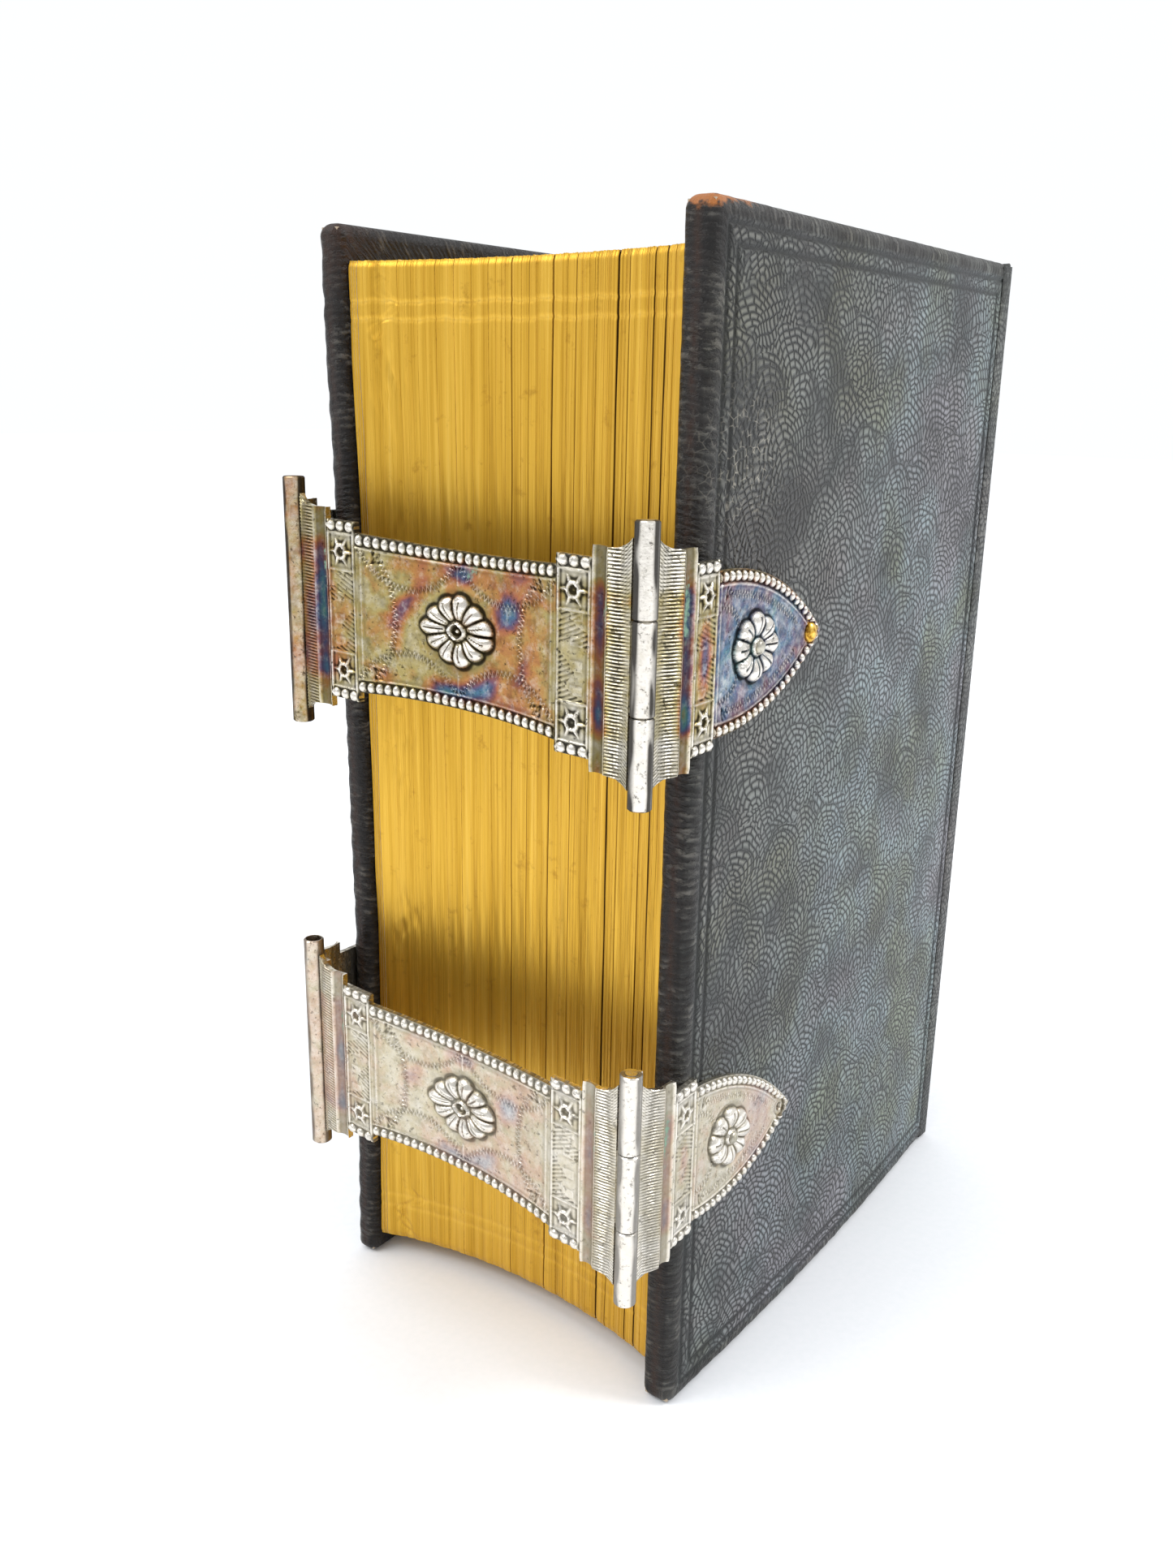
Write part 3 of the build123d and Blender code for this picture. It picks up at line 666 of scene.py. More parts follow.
def woven(name, light, dark, stripe_mm, axis, roughness):
    """Cloth, thread or laid paper: two tones in stripes across one axis, with fibre noise."""
    material, tree = new_material(name)
    place = add(tree, "TexCoord").outputs["Object"]
    parts = add(tree, "SeparateXYZ", (place,))
    wave = add(tree, "Math", (parts.outputs[axis], 2 * pi / (stripe_mm * MM)), "MULTIPLY")
    wave = add(tree, "Math", (wave,), "SINE")
    fibre = add(tree, "TexNoise", {"Vector": place, "Scale": 2500.0, "Detail": 4.0})
    tone = add(tree, "Math", (wave, 0.35, fibre), "MULTIPLY_ADD")
    colour = add(tree, "ValToRGB", (tone,))
    set_ramp(colour, [(0.25, dark), (0.75, light)])
    bump = add(tree, "Bump", {"Strength": 0.5, "Distance": 0.00008, "Height": tone})
    return surfaced(material, {"Base Color": colour, "Roughness": roughness, "Normal": bump})


def foxed_paper(name):
    """Plain cream endpaper with faint foxing."""
    material, tree = new_material(name)
    place = add(tree, "TexCoord").outputs["Object"]
    foxing = add(tree, "TexNoise", {"Vector": place, "Scale": 120.0, "Detail": 6.0, "Roughness": 0.7})
    colour = add(tree, "ValToRGB", (foxing,))
    set_ramp(colour, [(0.3, "#e6dcc4"), (0.62, "#ddcfb0"), (0.72, "#b8946a")])
    fibre = add(tree, "TexNoise", {"Vector": place, "Scale": 3000.0, "Detail": 3.0})
    bump = add(tree, "Bump", {"Strength": 0.3, "Distance": 0.00005, "Height": fibre})
    return surfaced(material, {"Base Color": colour, "Roughness": 0.8, "Normal": bump})


def leather():
    """The cover and spine leather."""
    return material_named("blackened_goatskin", grained_leather)


def gilt():
    """The gilded page edges."""
    return material_named("gilt_paper", gilt_edge)


def repaint(node, material):
    """Gives a CAD node a material in every slot."""
    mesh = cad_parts[node].data
    if not mesh.materials:
        mesh.materials.append(material)
    for at in range(len(mesh.materials)):
        mesh.materials[at] = material


# --- covers -------------------------------------------------------------------------
def bow(side, depth, height):
    """How far a cover stands outwards of its flat place.

    The front cover gapes along its fore-edge, most at the head; the back one bellies a
    little at the middle of its tail. Nothing moves at the joint.
    """
    look = bpy.context.scene.book_leather
    share = np.clip((JOINT_Y - depth) / COVER_DEPTH, 0, 1)
    if side > 0:
        return look.belly / MM * hills(height, 19.0) * np.sin(pi * share)
    # The gape as a share of the flare, at heights on a cover 140 high.
    knots = np.array([0, 12, 22, 37, 52, 60, 72, 84, 98, 114, 124, 134, 140]) * HEIGHT / 140
    gape = np.array([0.72, 0.62, 0.45, 0.24, 0.2, 0.28, 0.34, 0.42, 0.56, 0.72, 0.92, 1.0, 1.0])
    return look.flare / MM * np.interp(height, knots, gape) * share**0.8


def ring_walk():
    """Samples round a rectangle: the corners before and after, the way between, and the angle.

    The walk starts at the middle of the joint side and goes up, so its seam is there.
    """
    side_steps, corner_steps = (200, 118), 6
    corners = ((1, 1), (-1, 1), (-1, -1), (1, -1))
    walk = []
    for turn in range(4):
        before, here, angle = corners[turn - 1], corners[turn], turn * pi / 2
        for share in np.linspace(0, 1, side_steps[turn % 2], endpoint=False):
            walk.append((before, here, share, angle))
        for bend in np.linspace(0, pi / 2, corner_steps, endpoint=False):
            walk.append((here, here, 0.0, angle + bend))
    half_way = side_steps[0] // 2
    return [np.array(item, float) for item in zip(*walk[half_way:], *walk[:half_way])]


def rings(inset, corner):
    """Depth and height of rounded rectangles inset from a cover's edge, one per row."""
    before, after, share, angle = ring_walk()
    inset, corner = inset[:, None], np.maximum(corner[:, None], 0)
    reach_y = np.maximum(COVER_DEPTH / 2 - inset - corner, 0)
    reach_z = HEIGHT / 2 - inset - corner

    def at(sign):
        return (
            sign[None, :, 0] * reach_y + corner * np.cos(angle),
            sign[None, :, 1] * reach_z + corner * np.sin(angle),
        )

    start, end = at(before), at(after)
    y = MIDDLE_Y + (1 - share) * start[0] + share * end[0]
    z = MIDDLE_Z + (1 - share) * start[1] + share * end[1]
    return y, z


def lift_off(side, y, z):
    """How far the front cover's fittings stand off with its gape; the back ones lie flat."""
    return bow(side, y, z) if side < 0 else 0.0


def girth(side, past_joint):
    """The way round the book's skin: along the back cover, over the spine, onto the front one.

    It is measured from the distance past the joint towards the spine.
    """
    whole = 2 * SPINE_ARC * asin((HALF - 0.05) / SPINE_ARC)
    return JOINT_Y + past_joint if side > 0 else JOINT_Y + whole - past_joint


def cover_profile(thickness):
    """The leather's section from the cover's middle, round the edge, to the turn-in and back.

    Gives inset from the edge and depth below the outer face.
    """
    look = bpy.context.scene.book_leather
    face = np.concatenate([np.linspace(COVER_DEPTH / 2, 6.4, 34), np.linspace(6.2, EDGE_ROUND, 30)])
    quarter = np.linspace(0, pi / 2, 7)
    over = EDGE_ROUND * (1 - np.sin(quarter)), EDGE_ROUND * (1 - np.cos(quarter))
    edge = np.zeros(3), np.linspace(EDGE_ROUND, thickness - EDGE_ROUND, 5)[1:-1]
    under = over[0][::-1], thickness - over[1][::-1]
    turned = np.linspace(EDGE_ROUND + 0.3, TURN_IN, 10)
    groove = 0.17 * sum(hills(face - at / MM, 0.26) for at in (look.fillet_outer, look.fillet_inner))
    welt = -0.05 * hills(face - 3.45, 0.5)
    hidden_edge = np.array([LEATHER + 0.9, LEATHER, LEATHER, LEATHER + 0.9])
    inset = np.concatenate([
        face, over[0][1:], edge[0], under[0], turned, [TURN_IN], hidden_edge, [COVER_DEPTH / 2]
    ])
    depth = np.concatenate([
        groove + welt, over[1][1:], edge[1], under[1], np.full(10, thickness), [thickness - LEATHER],
        [thickness - LEATHER, thickness - LEATHER - 0.9, LEATHER + 0.9, LEATHER], [LEATHER],
    ])
    return inset, depth


def cover_leather(side, name):
    """One cover's leather: rounded rectangles carried along the section of the board's edge."""
    look = bpy.context.scene.book_leather
    thickness = HALF - INNER_X if side > 0 else look.front_board / MM
    inset, depth = cover_profile(thickness)
    y, z = rings(inset, 1.5 - inset)
    below = depth[:, None] + 0 * y
    # The skin is drawn round the board's edges in soft lumps.
    lump = 0.13 * blots(y, z, 2.6, 50 + side, 7) * hills(inset[:, None] / 1.6, 1.0)
    y = y - lump * np.sign(MIDDLE_Y - y) * (np.abs(y - MIDDLE_Y) > COVER_DEPTH / 2 - 2.5)
    x = side * (HALF - below + lump * (below < 1.2) + bow(side, y, z))
    step = np.hypot(np.diff(y[44], append=y[44][0]), np.diff(z[44], append=z[44][0]))
    walked = np.cumsum(step)
    around = np.minimum(walked, walked[-1] - walked)[None, :] + 0 * y
    section = np.cumsum(np.hypot(np.diff(inset, prepend=inset[0]), np.diff(depth, prepend=depth[0])))
    from_edge = inset[:, None] + 0 * y
    outside = below < 1.0
    fillets = (look.fillet_outer / MM, look.fillet_inner / MM)
    tooled = outside * sum(0.9 * hills(from_edge - at, 0.42) for at in fillets)
    border = np.where(outside, np.clip((2.3 - from_edge) / 0.6, 0, 1), 1.0)
    depth_share = (y - FORE_Y) / COVER_DEPTH
    # Painted sheen: stronger towards the joint and the tail, faint on the border and inside.
    bloom = 0.25 + 0.6 * depth_share**0.7 + 0.34 * (0.6 - z / HEIGHT) + 0.12 * blots(y, z, 40, 3)
    bloom = np.where(outside, bloom, 0.06) * (1 - 0.45 * border)
    grease, dry, worn = np.zeros_like(y), np.zeros_like(y), np.zeros_like(y)
    to_edge = np.abs(below - thickness / 2)
    rubbed = 0.75 * hills(to_edge, 0.45) * (from_edge < 0.3) + 0.12 * (border > 0.9)
    if side > 0:
        for clasp in CLASPS:
            above = z - clasp.height
            near = y - clasp.tube_y
            grease += 0.7 * hills((near - 18) / 11, 1) * hills((above - 12) / 5, 1)
            if clasp.name == "upper":
                dry += hills((near - 16.5) / 6.5, 1) * hills((above - 19.5) / 6.5, 1)
        at_head = hills(HEIGHT - z, 0.9) * np.clip((FORE_Y + 11 - y) / 4, 0, 1)
        worn += 0.75 * at_head + 0.7 * hills(np.hypot(y - FORE_Y - 0.5, z - HEIGHT + 0.3), 1.5)
    else:
        rubbed += 0.9 * hills(np.hypot(y - FORE_Y - 1, z - HEIGHT + 1), 5.0) * (below > 1.0)
    return make_piece(
        f"{name}_leather",
        [patch(x, y, z, "columns", tooled=tooled, border=border, around=around, across=section[:, None],
               girth=girth(side, y - JOINT_Y),
               bloom=np.clip(bloom, 0, 1), grease=np.clip(grease, 0, 1), dry=np.clip(dry, 0, 1),
               worn=worn, rubbed=np.clip(rubbed, 0, 1))],
        leather(), f"{name}_cover", [f"{name}_cover_leather"], crease=50.0,
    )


def bowed_panel(side, node, name, material):
    """A flat CAD panel of a cover, moved and bowed with it: a grid over its box."""
    low, high = box_mm(node)
    look = bpy.context.scene.book_leather
    thinner = 0.0 if side > 0 else HALF - INNER_X - look.front_board / MM
    z = np.linspace(low[2], high[2], 60)[:, None]
    y = np.linspace(low[1], high[1], 24)[None, :]
    y, z = y + 0 * z, z + 0 * y
    outer, inner = (high[0], low[0]) if side > 0 else (low[0], high[0])
    # The pastedown moves whole; the board gives way to the front cover's lesser thickness.
    if name.endswith("pastedown"):
        outer = outer + side * thinner
    front = patch(outer + side * bow(side, y, z), y, z)
    back = patch(inner + side * (thinner + bow(side, y, z)), y, z)
    body = "back_cover" if side > 0 else "front_cover"
    return make_piece(name, slab(front, back), material, body, [node])


# --- pages --------------------------------------------------------------------------
def fore_depth(x):
    """Depth of the hollow fore-edge: an arc across the block."""
    hollow = FORE_MIDDLE - FORE_CORNER
    arc = (INNER_X**2 + hollow**2) / (2 * hollow)
    return FORE_Y + FORE_MIDDLE - arc + np.sqrt(arc**2 - x**2)


def spread(x, y, z):
    """How far the pages fan out sideways and forwards to follow the gaping front cover."""
    look = bpy.context.scene.book_leather
    room = bow(-1, FORE_Y, z) + HALF - INNER_X - look.front_board / MM
    share = np.clip((JOINT_Y - 4 - y) / (COVER_DEPTH - 4), 0, 1)
    left = np.clip(-x / INNER_X, 0, 1)
    return -room * share * left**1.5, -1.1 * share * left**3


# Openings where the book falls open, as (x, width) across the block.
OPENINGS = (
    (-3.4, 0.04), (-1.1, 0.03), (2.25, 0.06), (5.6, 0.06), (11.6, 0.14), (13.3, 0.05), (16.9, 0.09),
    (18.6, 0.1),
)


def edge_surface(x, z):
    """Depth of the gilt fore-edge: the hollow, slow waves, the tooled lines and the vine."""
    wave = ripple(z + 14 * x, ((47, 0.03), (19, 0.02)), 5)
    wave = wave + ripple(z - 9 * x, ((31, 0.025), (11, 0.012)), 6)
    line_wave = 0.12 * np.sin(x * 0.9) + 0.05 * np.sin(x * 3.1)
    head_lines, tail_lines = GAUFFER_LINES
    gauffer = sum(0.08 * hills(z - at - line_wave, 0.26) for at in head_lines)
    gauffer = gauffer + sum(0.06 * hills(z - at, 0.3) for at in tail_lines)
    vine_x = -18.6 + 0.9 * np.sin(2 * pi * z / 8.6) + 0.35 * np.sin(2 * pi * z / 3.1)
    tendril_x = vine_x + 1.2 * np.sin(2 * pi * z / 4.3)
    vine = 0.19 * hills(x - vine_x, 0.3) + 0.14 * hills(x - tendril_x, 0.25)
    vine = vine * (0.6 + 0.4 * np.sin(z / 3.7))
    soft_corner = 0.25 * hills(TEXT_HEAD - z, 0.5) + 0.2 * hills(z - TEXT_TAIL, 0.5)
    return fore_depth(x) + wave + gauffer + vine + soft_corner, gauffer


def page_heights():
    """Heights of the fore-edge's rows: close together round the tooled lines."""
    return np.concatenate([
        np.linspace(TEXT_TAIL, 12, 40), np.linspace(12.8, 126.5, 118), np.linspace(126.8, TEXT_HEAD, 52)
    ])[:, None]


def gathering(number, left, right):
    """One gathering: the pages' edges as steps and furrows over the fore-edge and the head."""
    look = bpy.context.scene.book_pages
    random = np.random.default_rng(40 + number)
    per_leaf = 4
    leaves = look.leaves
    share = np.linspace(0, 1, leaves * per_leaf + 1)
    x = left + (right - left) * share
    leaf = np.minimum((share * leaves).astype(int), leaves - 1)
    within = share * leaves - leaf
    furrow = hills(np.minimum(within, 1 - within), 0.16)
    furrow_depth = random.gamma(1.0, 0.016, leaves + 1) + 0.008
    furrow_depth[[0, -1]] += 0.05
    # The leaves lie tighter towards the front cover.
    furrow_depth *= 0.55 + 0.45 * np.clip((left + 8) / 16, 0, 1)
    nearest = np.round(share * leaves).astype(int)
    opening = sum(width / 0.2 * hills(x - at, 0.04 + width * 0.4) for at, width in OPENINGS)
    cut = furrow * furrow_depth[nearest] + 0.45 * opening
    step = random.normal(0, 0.01, leaves)[leaf]

    z = page_heights()
    surface, gauffer = edge_surface(x, z)
    fade = 0.65 + 0.35 * blots(z, x * 3, 60, 8 + number)
    y = surface + step + cut * fade
    middle, half = (left + right) / 2, (right - left) / 2
    fold = SPINE_CENTRE_Y + np.sqrt(FOLD_ARC**2 - middle**2)
    back = fold - FOLD_ROUND * ((x - middle) / half) ** 2 + 0 * z
    at_head = z > TEXT_HEAD - 0.01
    ragged = np.where(at_head, random.normal(0, 0.03, leaves)[leaf] - 0.5 * cut - 0.06 * opening, 0)
    height = z + ragged
    # Painted shade in the furrows between the leaves and in the openings, less on the tooled lines.
    gap = np.clip(cut / 0.1, 0, 1.3) * (0.7 + 0.3 * fade) - 2.2 * gauffer
    side_move, front_move = spread(x, y, z)
    fanned, y = x + side_move, y + front_move
    edge, folded = (fanned, y, height), (x + 0 * z, back, height)

    # A row just inside the fore-edge keeps the gilding off the pages' sides.
    def inside(front, rear):
        return front + GILT_INSET / COVER_DEPTH * (rear - front)

    def around(front, rear):
        between = inside(front, rear)
        return np.concatenate([front, between[-1:], rear[-1:], rear[:1], between[:1]])

    loop = patch(*map(around, edge, folded), "rows", gap=around(np.clip(gap, -0.35, 1.3), 0 * gap))
    # Each side is fanned from the lowest and the highest point of its fold.
    low = np.arange(z.size) < z.size / 2
    caps = [
        patch(*(
            np.stack([
                front[:, at], inside(front, rear)[:, at],
                np.where(low, rear[0, at], rear[-1, at]),
            ], 1)
            for front, rear in zip(edge, (x + 0 * z, back, height))
        ))
        for at in (0, -1)
    ]
    return make_piece(
        f"pages_{number:02d}", [loop] + caps, gilt(), "text_block", [f"gathering_{number:02d}"],
        crease=65.0,
    )


def loose_leaf(side, name):
    """A loose leaf between block and cover: a thin slab with the block's fore-edge."""
    low, high = box_mm(name)
    outer, inner = (high[0], low[0]) if side > 0 else (low[0], high[0])
    z = page_heights()
    x = np.array([outer, (outer + inner) / 2, inner - side * 0.11])[None, :]
    y, gauffer = edge_surface(x, z)
    hinge = high[1] + 0 * y
    side_move, front_move = spread(x, y, z)
    # A little painted shade over the leaf's fore-edge, less on the tooled lines.
    loop = patch(
        np.concatenate([x + side_move, x + 0 * z]),
        np.concatenate([y + front_move, hinge]),
        np.concatenate([z + 0 * x, z[::-1] + 0 * x]),
        "rows", gap=np.concatenate([0.15 - 2.2 * gauffer, 0 * gauffer]),
    )
    points = loop["points"]
    rows = len(z)
    caps = [
        patch(*np.moveaxis(np.stack([points[:rows, at], points[:rows - 1:-1, at]], 1), -1, 0))
        for at in (0, -1)
    ]
    return make_piece(f"{name}_sheet", [loop] + caps, gilt(), name, [name], crease=30.0)


# --- spine --------------------------------------------------------------------------
def spine_leather():
    """The spine's leather: a rounded lip-to-lip section carried along the spine's arc."""
    half_angle = asin((HALF - 0.05) / SPINE_ARC)
    angle = np.linspace(-half_angle, half_angle, 120)
    angle = np.concatenate([angle[:1], angle, angle[-1:]])[None, :]
    quarter = np.linspace(0, pi, 9)[1:-1]
    lip = SPINE_LEATHER / 2
    ends = np.linspace(lip, 12, 40)
    z_face = np.concatenate([ends, np.linspace(12.5, HEIGHT - 12.5, 60), HEIGHT - ends[::-1]])
    out_face = np.zeros_like(z_face)
    for at in SPINE_FILLETS:
        out_face -= 0.14 * hills(z_face - at, 0.3)
    top_z, top_out = HEIGHT - lip + lip * np.sin(quarter), -lip + lip * np.cos(quarter)
    low_z, low_out = lip - lip * np.sin(quarter), -lip - lip * np.cos(quarter)
    z = np.concatenate([z_face, top_z, z_face[::-1], low_z])[:, None]
    inside = np.full(z_face.size, -SPINE_LEATHER)
    out = np.concatenate([out_face, top_out, inside, low_out])[:, None] + 0 * angle
    # The section closes on its own middle along both long edges.
    out[:, [0, -1]] = -lip
    # Headcaps: the leather leans in over the headbands.
    lean = 0.5 * hills(np.minimum(z, HEIGHT - z), 2.2) * (1 - (angle / half_angle) ** 4)
    radius = SPINE_ARC + out - lean
    x, y = radius * np.sin(angle), SPINE_CENTRE_Y + radius * np.cos(angle)
    z = z + 0 * angle
    tooled = sum(0.9 * hills(z - at, 0.45) for at in SPINE_FILLETS)
    # Painted sheen in patches over the spine.
    bloom = 0.35 + 0.3 * blots(x, z, 35, 11)
    worn = 0.45 * hills(np.minimum(z, HEIGHT - z), 1.2)
    return make_piece(
        "spine_covering",
        [patch(x, y, z, "rows", tooled=tooled, bloom=bloom, border=0.35, around=z, worn=worn,
               girth=girth(1, (half_angle - angle) * SPINE_ARC))],
        leather(), "text_block", ["spine_leather"],
    )


def joint_leather(side, name):
    """The strip of leather that bends at a joint: a thin lens-shaped section along the book."""
    reach = 2.6
    s = np.linspace(-1, 1, 17)[None, :]
    along = s * reach
    z = np.linspace(0.5, HEIGHT - 0.5, 120)[:, None]
    # In front of the joint it lies on the cover; behind it, it turns onto the spine's arc.
    spine_x = HALF - np.clip(along, 0, None)
    behind = SPINE_CENTRE_Y + np.sqrt(SPINE_ARC**2 - spine_x**2)
    x_line = np.where(along > 0, spine_x, HALF)
    y_line = np.where(along > 0, behind, JOINT_Y + along)
    lift = 0.22 * np.sqrt(np.clip(1 - s**2, 0, 1)) + 0.02
    x_out = side * (x_line + lift * np.where(along > 0, 0.45, 1.0)) + 0 * z
    y_out = y_line + lift * np.where(along > 0, 0.9, 0.0) + 0 * z
    front = patch(x_out, y_out, z, border=0.5, around=z, bloom=0.4, girth=girth(side, along))
    back = patch(side * (x_line - 0.12), y_line - 0.1 * (along > 0), z)
    piece = make_piece(
        f"{name}_joint_leather", slab(front, back), leather(), crease=60.0
    )
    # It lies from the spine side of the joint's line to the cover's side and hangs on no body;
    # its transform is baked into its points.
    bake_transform(piece)
    return piece


# --- clasps -------------------------------------------------------------------------
def circle_through(first, second, third):
    """Centre and radius of the circle through three points."""
    (ax, ay), (bx, by), (cx, cy) = first, second, third
    span = 2 * (ax * (by - cy) + bx * (cy - ay) + cx * (ay - by))
    squares = [x * x + y * y for x, y in (first, second, third)]
    centre_x = (squares[0] * (by - cy) + squares[1] * (cy - ay) + squares[2] * (ay - by)) / span
    centre_y = (squares[0] * (cx - bx) + squares[1] * (ax - cx) + squares[2] * (bx - ax)) / span
    return centre_x, centre_y, sqrt((ax - centre_x) ** 2 + (ay - centre_y) ** 2)


OGIVE = circle_through((PANEL_END, PLATE_HALF), (OGIVE_MIDDLE, OGIVE_HALF), (PLATE_TIP, 0))


def band_half(along):
    """Half height of the bands beside a tube: they sweep up to it in a hollow curve."""
    return 11.68 + 1.62 * np.exp(-(along - 1.2) / 0.85) + 0.06 * np.clip(along - RIDGE, 0, None)


def ogive_half(along):
    """Half height of the pointed leaf: a circle's arc from the panel to the tip."""
    centre_v, centre_w, radius = OGIVE
    return np.clip(centre_w + np.sqrt(np.clip(radius**2 - (along - centre_v) ** 2, 0, None)), 0, None)


def ogive_border(along, across):
    """Distance in from the leaf's rim, and way along the rim, for each point."""
    centre_v, centre_w, radius = OGIVE
    reach = np.hypot(along - centre_v, np.abs(across) - centre_w)
    way = radius * np.arctan2(along - centre_v, np.abs(across) - centre_w)
    return radius - reach, way


def beads(way, inward, pitch, row, half_way, half_in, height):
    """A row of half-round beads at one distance in from a rim."""
    offset = (way / pitch - np.floor(way / pitch) - 0.5) * pitch
    return height * dome(np.hypot(offset / half_way, (inward - row) / half_in))


def wriggle(distance, way, reach=0.36, pitch=0.62, depth=0.12):
    """Wriggle-work: a zigzag burr in a shallow furrow that follows a line."""
    phase = way / pitch
    zigzag = reach * (2 * np.abs(phase - np.floor(phase) - 0.5) * 2 - 1)
    line = hills(distance - zigzag, 0.13) * (np.abs(distance) < reach * 1.8)
    return depth * line - 0.4 * depth * hills(distance, reach * 1.3)


def flower(du, dw, half_u, half_w, petals, height, square=1.6):
    """A pressed rosette in a rounded diamond: domed petals round a ringed eye."""
    reach = (np.abs(du / half_u) ** square + np.abs(dw / half_w) ** square) ** (1 / square)
    angle = np.arctan2(dw / half_w, du / half_u)
    lobe = np.abs(np.cos(petals * angle / 2))
    edge = 0.86 + 0.14 * lobe**0.6
    way = np.clip((reach / edge - 0.2) / 0.8, 0, 1)
    petal = np.sin(pi * way**1.5) ** 0.5 * (0.3 + 0.7 * lobe**0.45)
    vein = 0.16 * hills(lobe - 1, 0.012) * (way > 0.2) * (way < 0.8)
    half = (half_u + half_w) / 2
    ring = 0.75 * hills((reach - 0.2) * half, 0.27)
    eye = 0.5 * dome(reach * half / 0.36)
    petals = np.where(reach < edge, np.maximum(petal - vein, 0), 0)
    return height * petals + height * np.maximum(ring, eye)


def leaf_cuts(du, dw, turn, tilt, half, out):
    """Depth of three narrow cuts that fan out from a point, each a little way out from it."""
    depth = 0
    for angle in (turn - tilt, turn, turn + tilt):
        across = du * np.cos(angle) + dw * np.sin(angle)
        along = -du * np.sin(angle) + dw * np.cos(angle)
        depth = depth + 0.1 * dome(np.hypot(across / half[0], (along - out) / half[1]))
    return depth


def star(du, dw, reach, points, height):
    """A small pressed star of kite-shaped rays round a ring."""
    distance, angle = np.hypot(du, dw), np.arctan2(dw, du)
    ray = np.abs(((angle * points / (2 * pi)) % 1) - 0.5) * 2
    edge = reach * (0.42 + 0.58 * ray**2.2)
    body = np.clip(1 - distance / edge, 0, 1)
    ring = hills(distance - 0.75, 0.22)
    return height * np.maximum(np.clip(body * 2.2, 0, 1) * (distance > 0.55), ring)


def smoothed(height, rows, columns):
    """The mean height over a window of so many rows and columns either way."""
    for reach in (rows, columns):
        width = 2 * reach + 1
        total = np.cumsum(np.pad(height, ((reach + 1, reach), (0, 0)), mode="edge"), axis=0)
        height = ((total[width:] - total[:-width]) / width).T
    return height


def zone(place, start, end, half, level, thickness, counts, relief, tint, reach=0.42):
    """One zone of a pressed sheet as a closed slab.

    Along runs from start to end, across from rim to rim; the front stands at the level plus
    the relief, and the back a sheet's thickness under the level. A crease is where the
    surface lies under its own mean height nearby; the silver darkens it with grime and
    painted shade.
    """
    along = np.linspace(start, end, counts[0])[:, None]
    share = np.linspace(-1, 1, counts[1])[None, :]
    across = share * half(along)
    raised = relief(along, across) + 0 * across
    rows = max(1, round(reach * (counts[0] - 1) / (end - start)))
    columns = max(1, round(reach * (counts[1] - 1) / (2 * float(np.max(half(along))))))
    mean = smoothed(raised, min(rows, counts[0] // 3), min(columns, counts[1] // 3))
    # The crease carries grime and painted shade; the crest marks rubbed high points.
    crease = np.clip((mean - raised) / 0.06, 0, 1)
    crest = np.clip((raised - mean) / 0.12, 0, 1)
    to_rim = (1 - np.abs(share)) * half(along)
    round_over = 0.1 * np.clip(1 - to_rim / 0.2, 0, 1) ** 2
    film, polish, green = tint(along, across, raised)
    polish = np.clip(polish * (1 - 0.8 * crease) + 0.5 * crest, 0, 1)
    flat = level(along) + 0 * across
    front = patch(*place(along + 0 * across, across, flat + raised - round_over), relief=raised,
                  film=film, polish=polish, verdigris=green, crease=crease)
    # The plain back is only a little tarnished.
    back = patch(*place(along + 0 * across, across, flat - thickness), film=0.08, polish=0.45)
    front, back, wall = slab(front, back)
    return [front, *plain_back(back), wall]


def tube(low, high, place, bore=0.0, hollow=0.0, **values):
    """A drawn tube with softened ends: bored through, or with a hollow at each end."""
    soft, radius = 0.14, TUBE_RADIUS
    if bore:
        profile = [
            *[(radius, at) for at in np.linspace(low + soft, high - soft, 24)], (radius - soft, high),
            (bore, high), (bore, low), (radius - soft, low), (radius, low + soft),
        ]
    else:
        profile = [
            (0, low + hollow), (0.72 * radius, low + hollow),
            (0.78 * radius, low), (radius - soft, low),
            *[(radius, at) for at in np.linspace(low + soft, high - soft, 48)], (radius - soft, high),
            (0.78 * radius, high), (0.72 * radius, high - hollow), (0, high - hollow),
        ]
    count = len(profile)
    spread = {key: np.full(count, value, float) for key, value in values.items()}
    # The hollow ends sit low, so the silver darkens them with painted shade, and they are not rubbed.
    if hollow:
        for end in (0, 1, -2, -1):
            spread["relief"][end] = -0.2
            spread["polish"][end] = 0.0
    return revolve(profile, place, 96, **spread)


def upright(x, y):
    """Places a revolved form on an upright axis."""
    return lambda across, up, along: (x + across, y + up, along + 0 * across)


def knuckle(clasp, which, place, web_from, web_along, web_out):
    """One of the hinge tube's three knuckles, and the web that joins it to its sheet."""
    third = clasp.length / 3
    low = clasp.height - clasp.length / 2 + which * third + KNUCKLE_GAP / 2
    barrel = tube(low, low + third - KNUCKLE_GAP, upright(clasp.tube_x, clasp.tube_y),
                  bore=TUBE_BORE, film=0.04, polish=0.95, relief=0.0, grimy=1.1)
    foot = low - clasp.height
    across = np.linspace(foot + web_from, foot + third - 0.3, 4)[None, :]
    along = np.linspace(*web_along, 3)[:, None]
    return [barrel, *slab(*(patch(*place(along, across, out)) for out in web_out))]


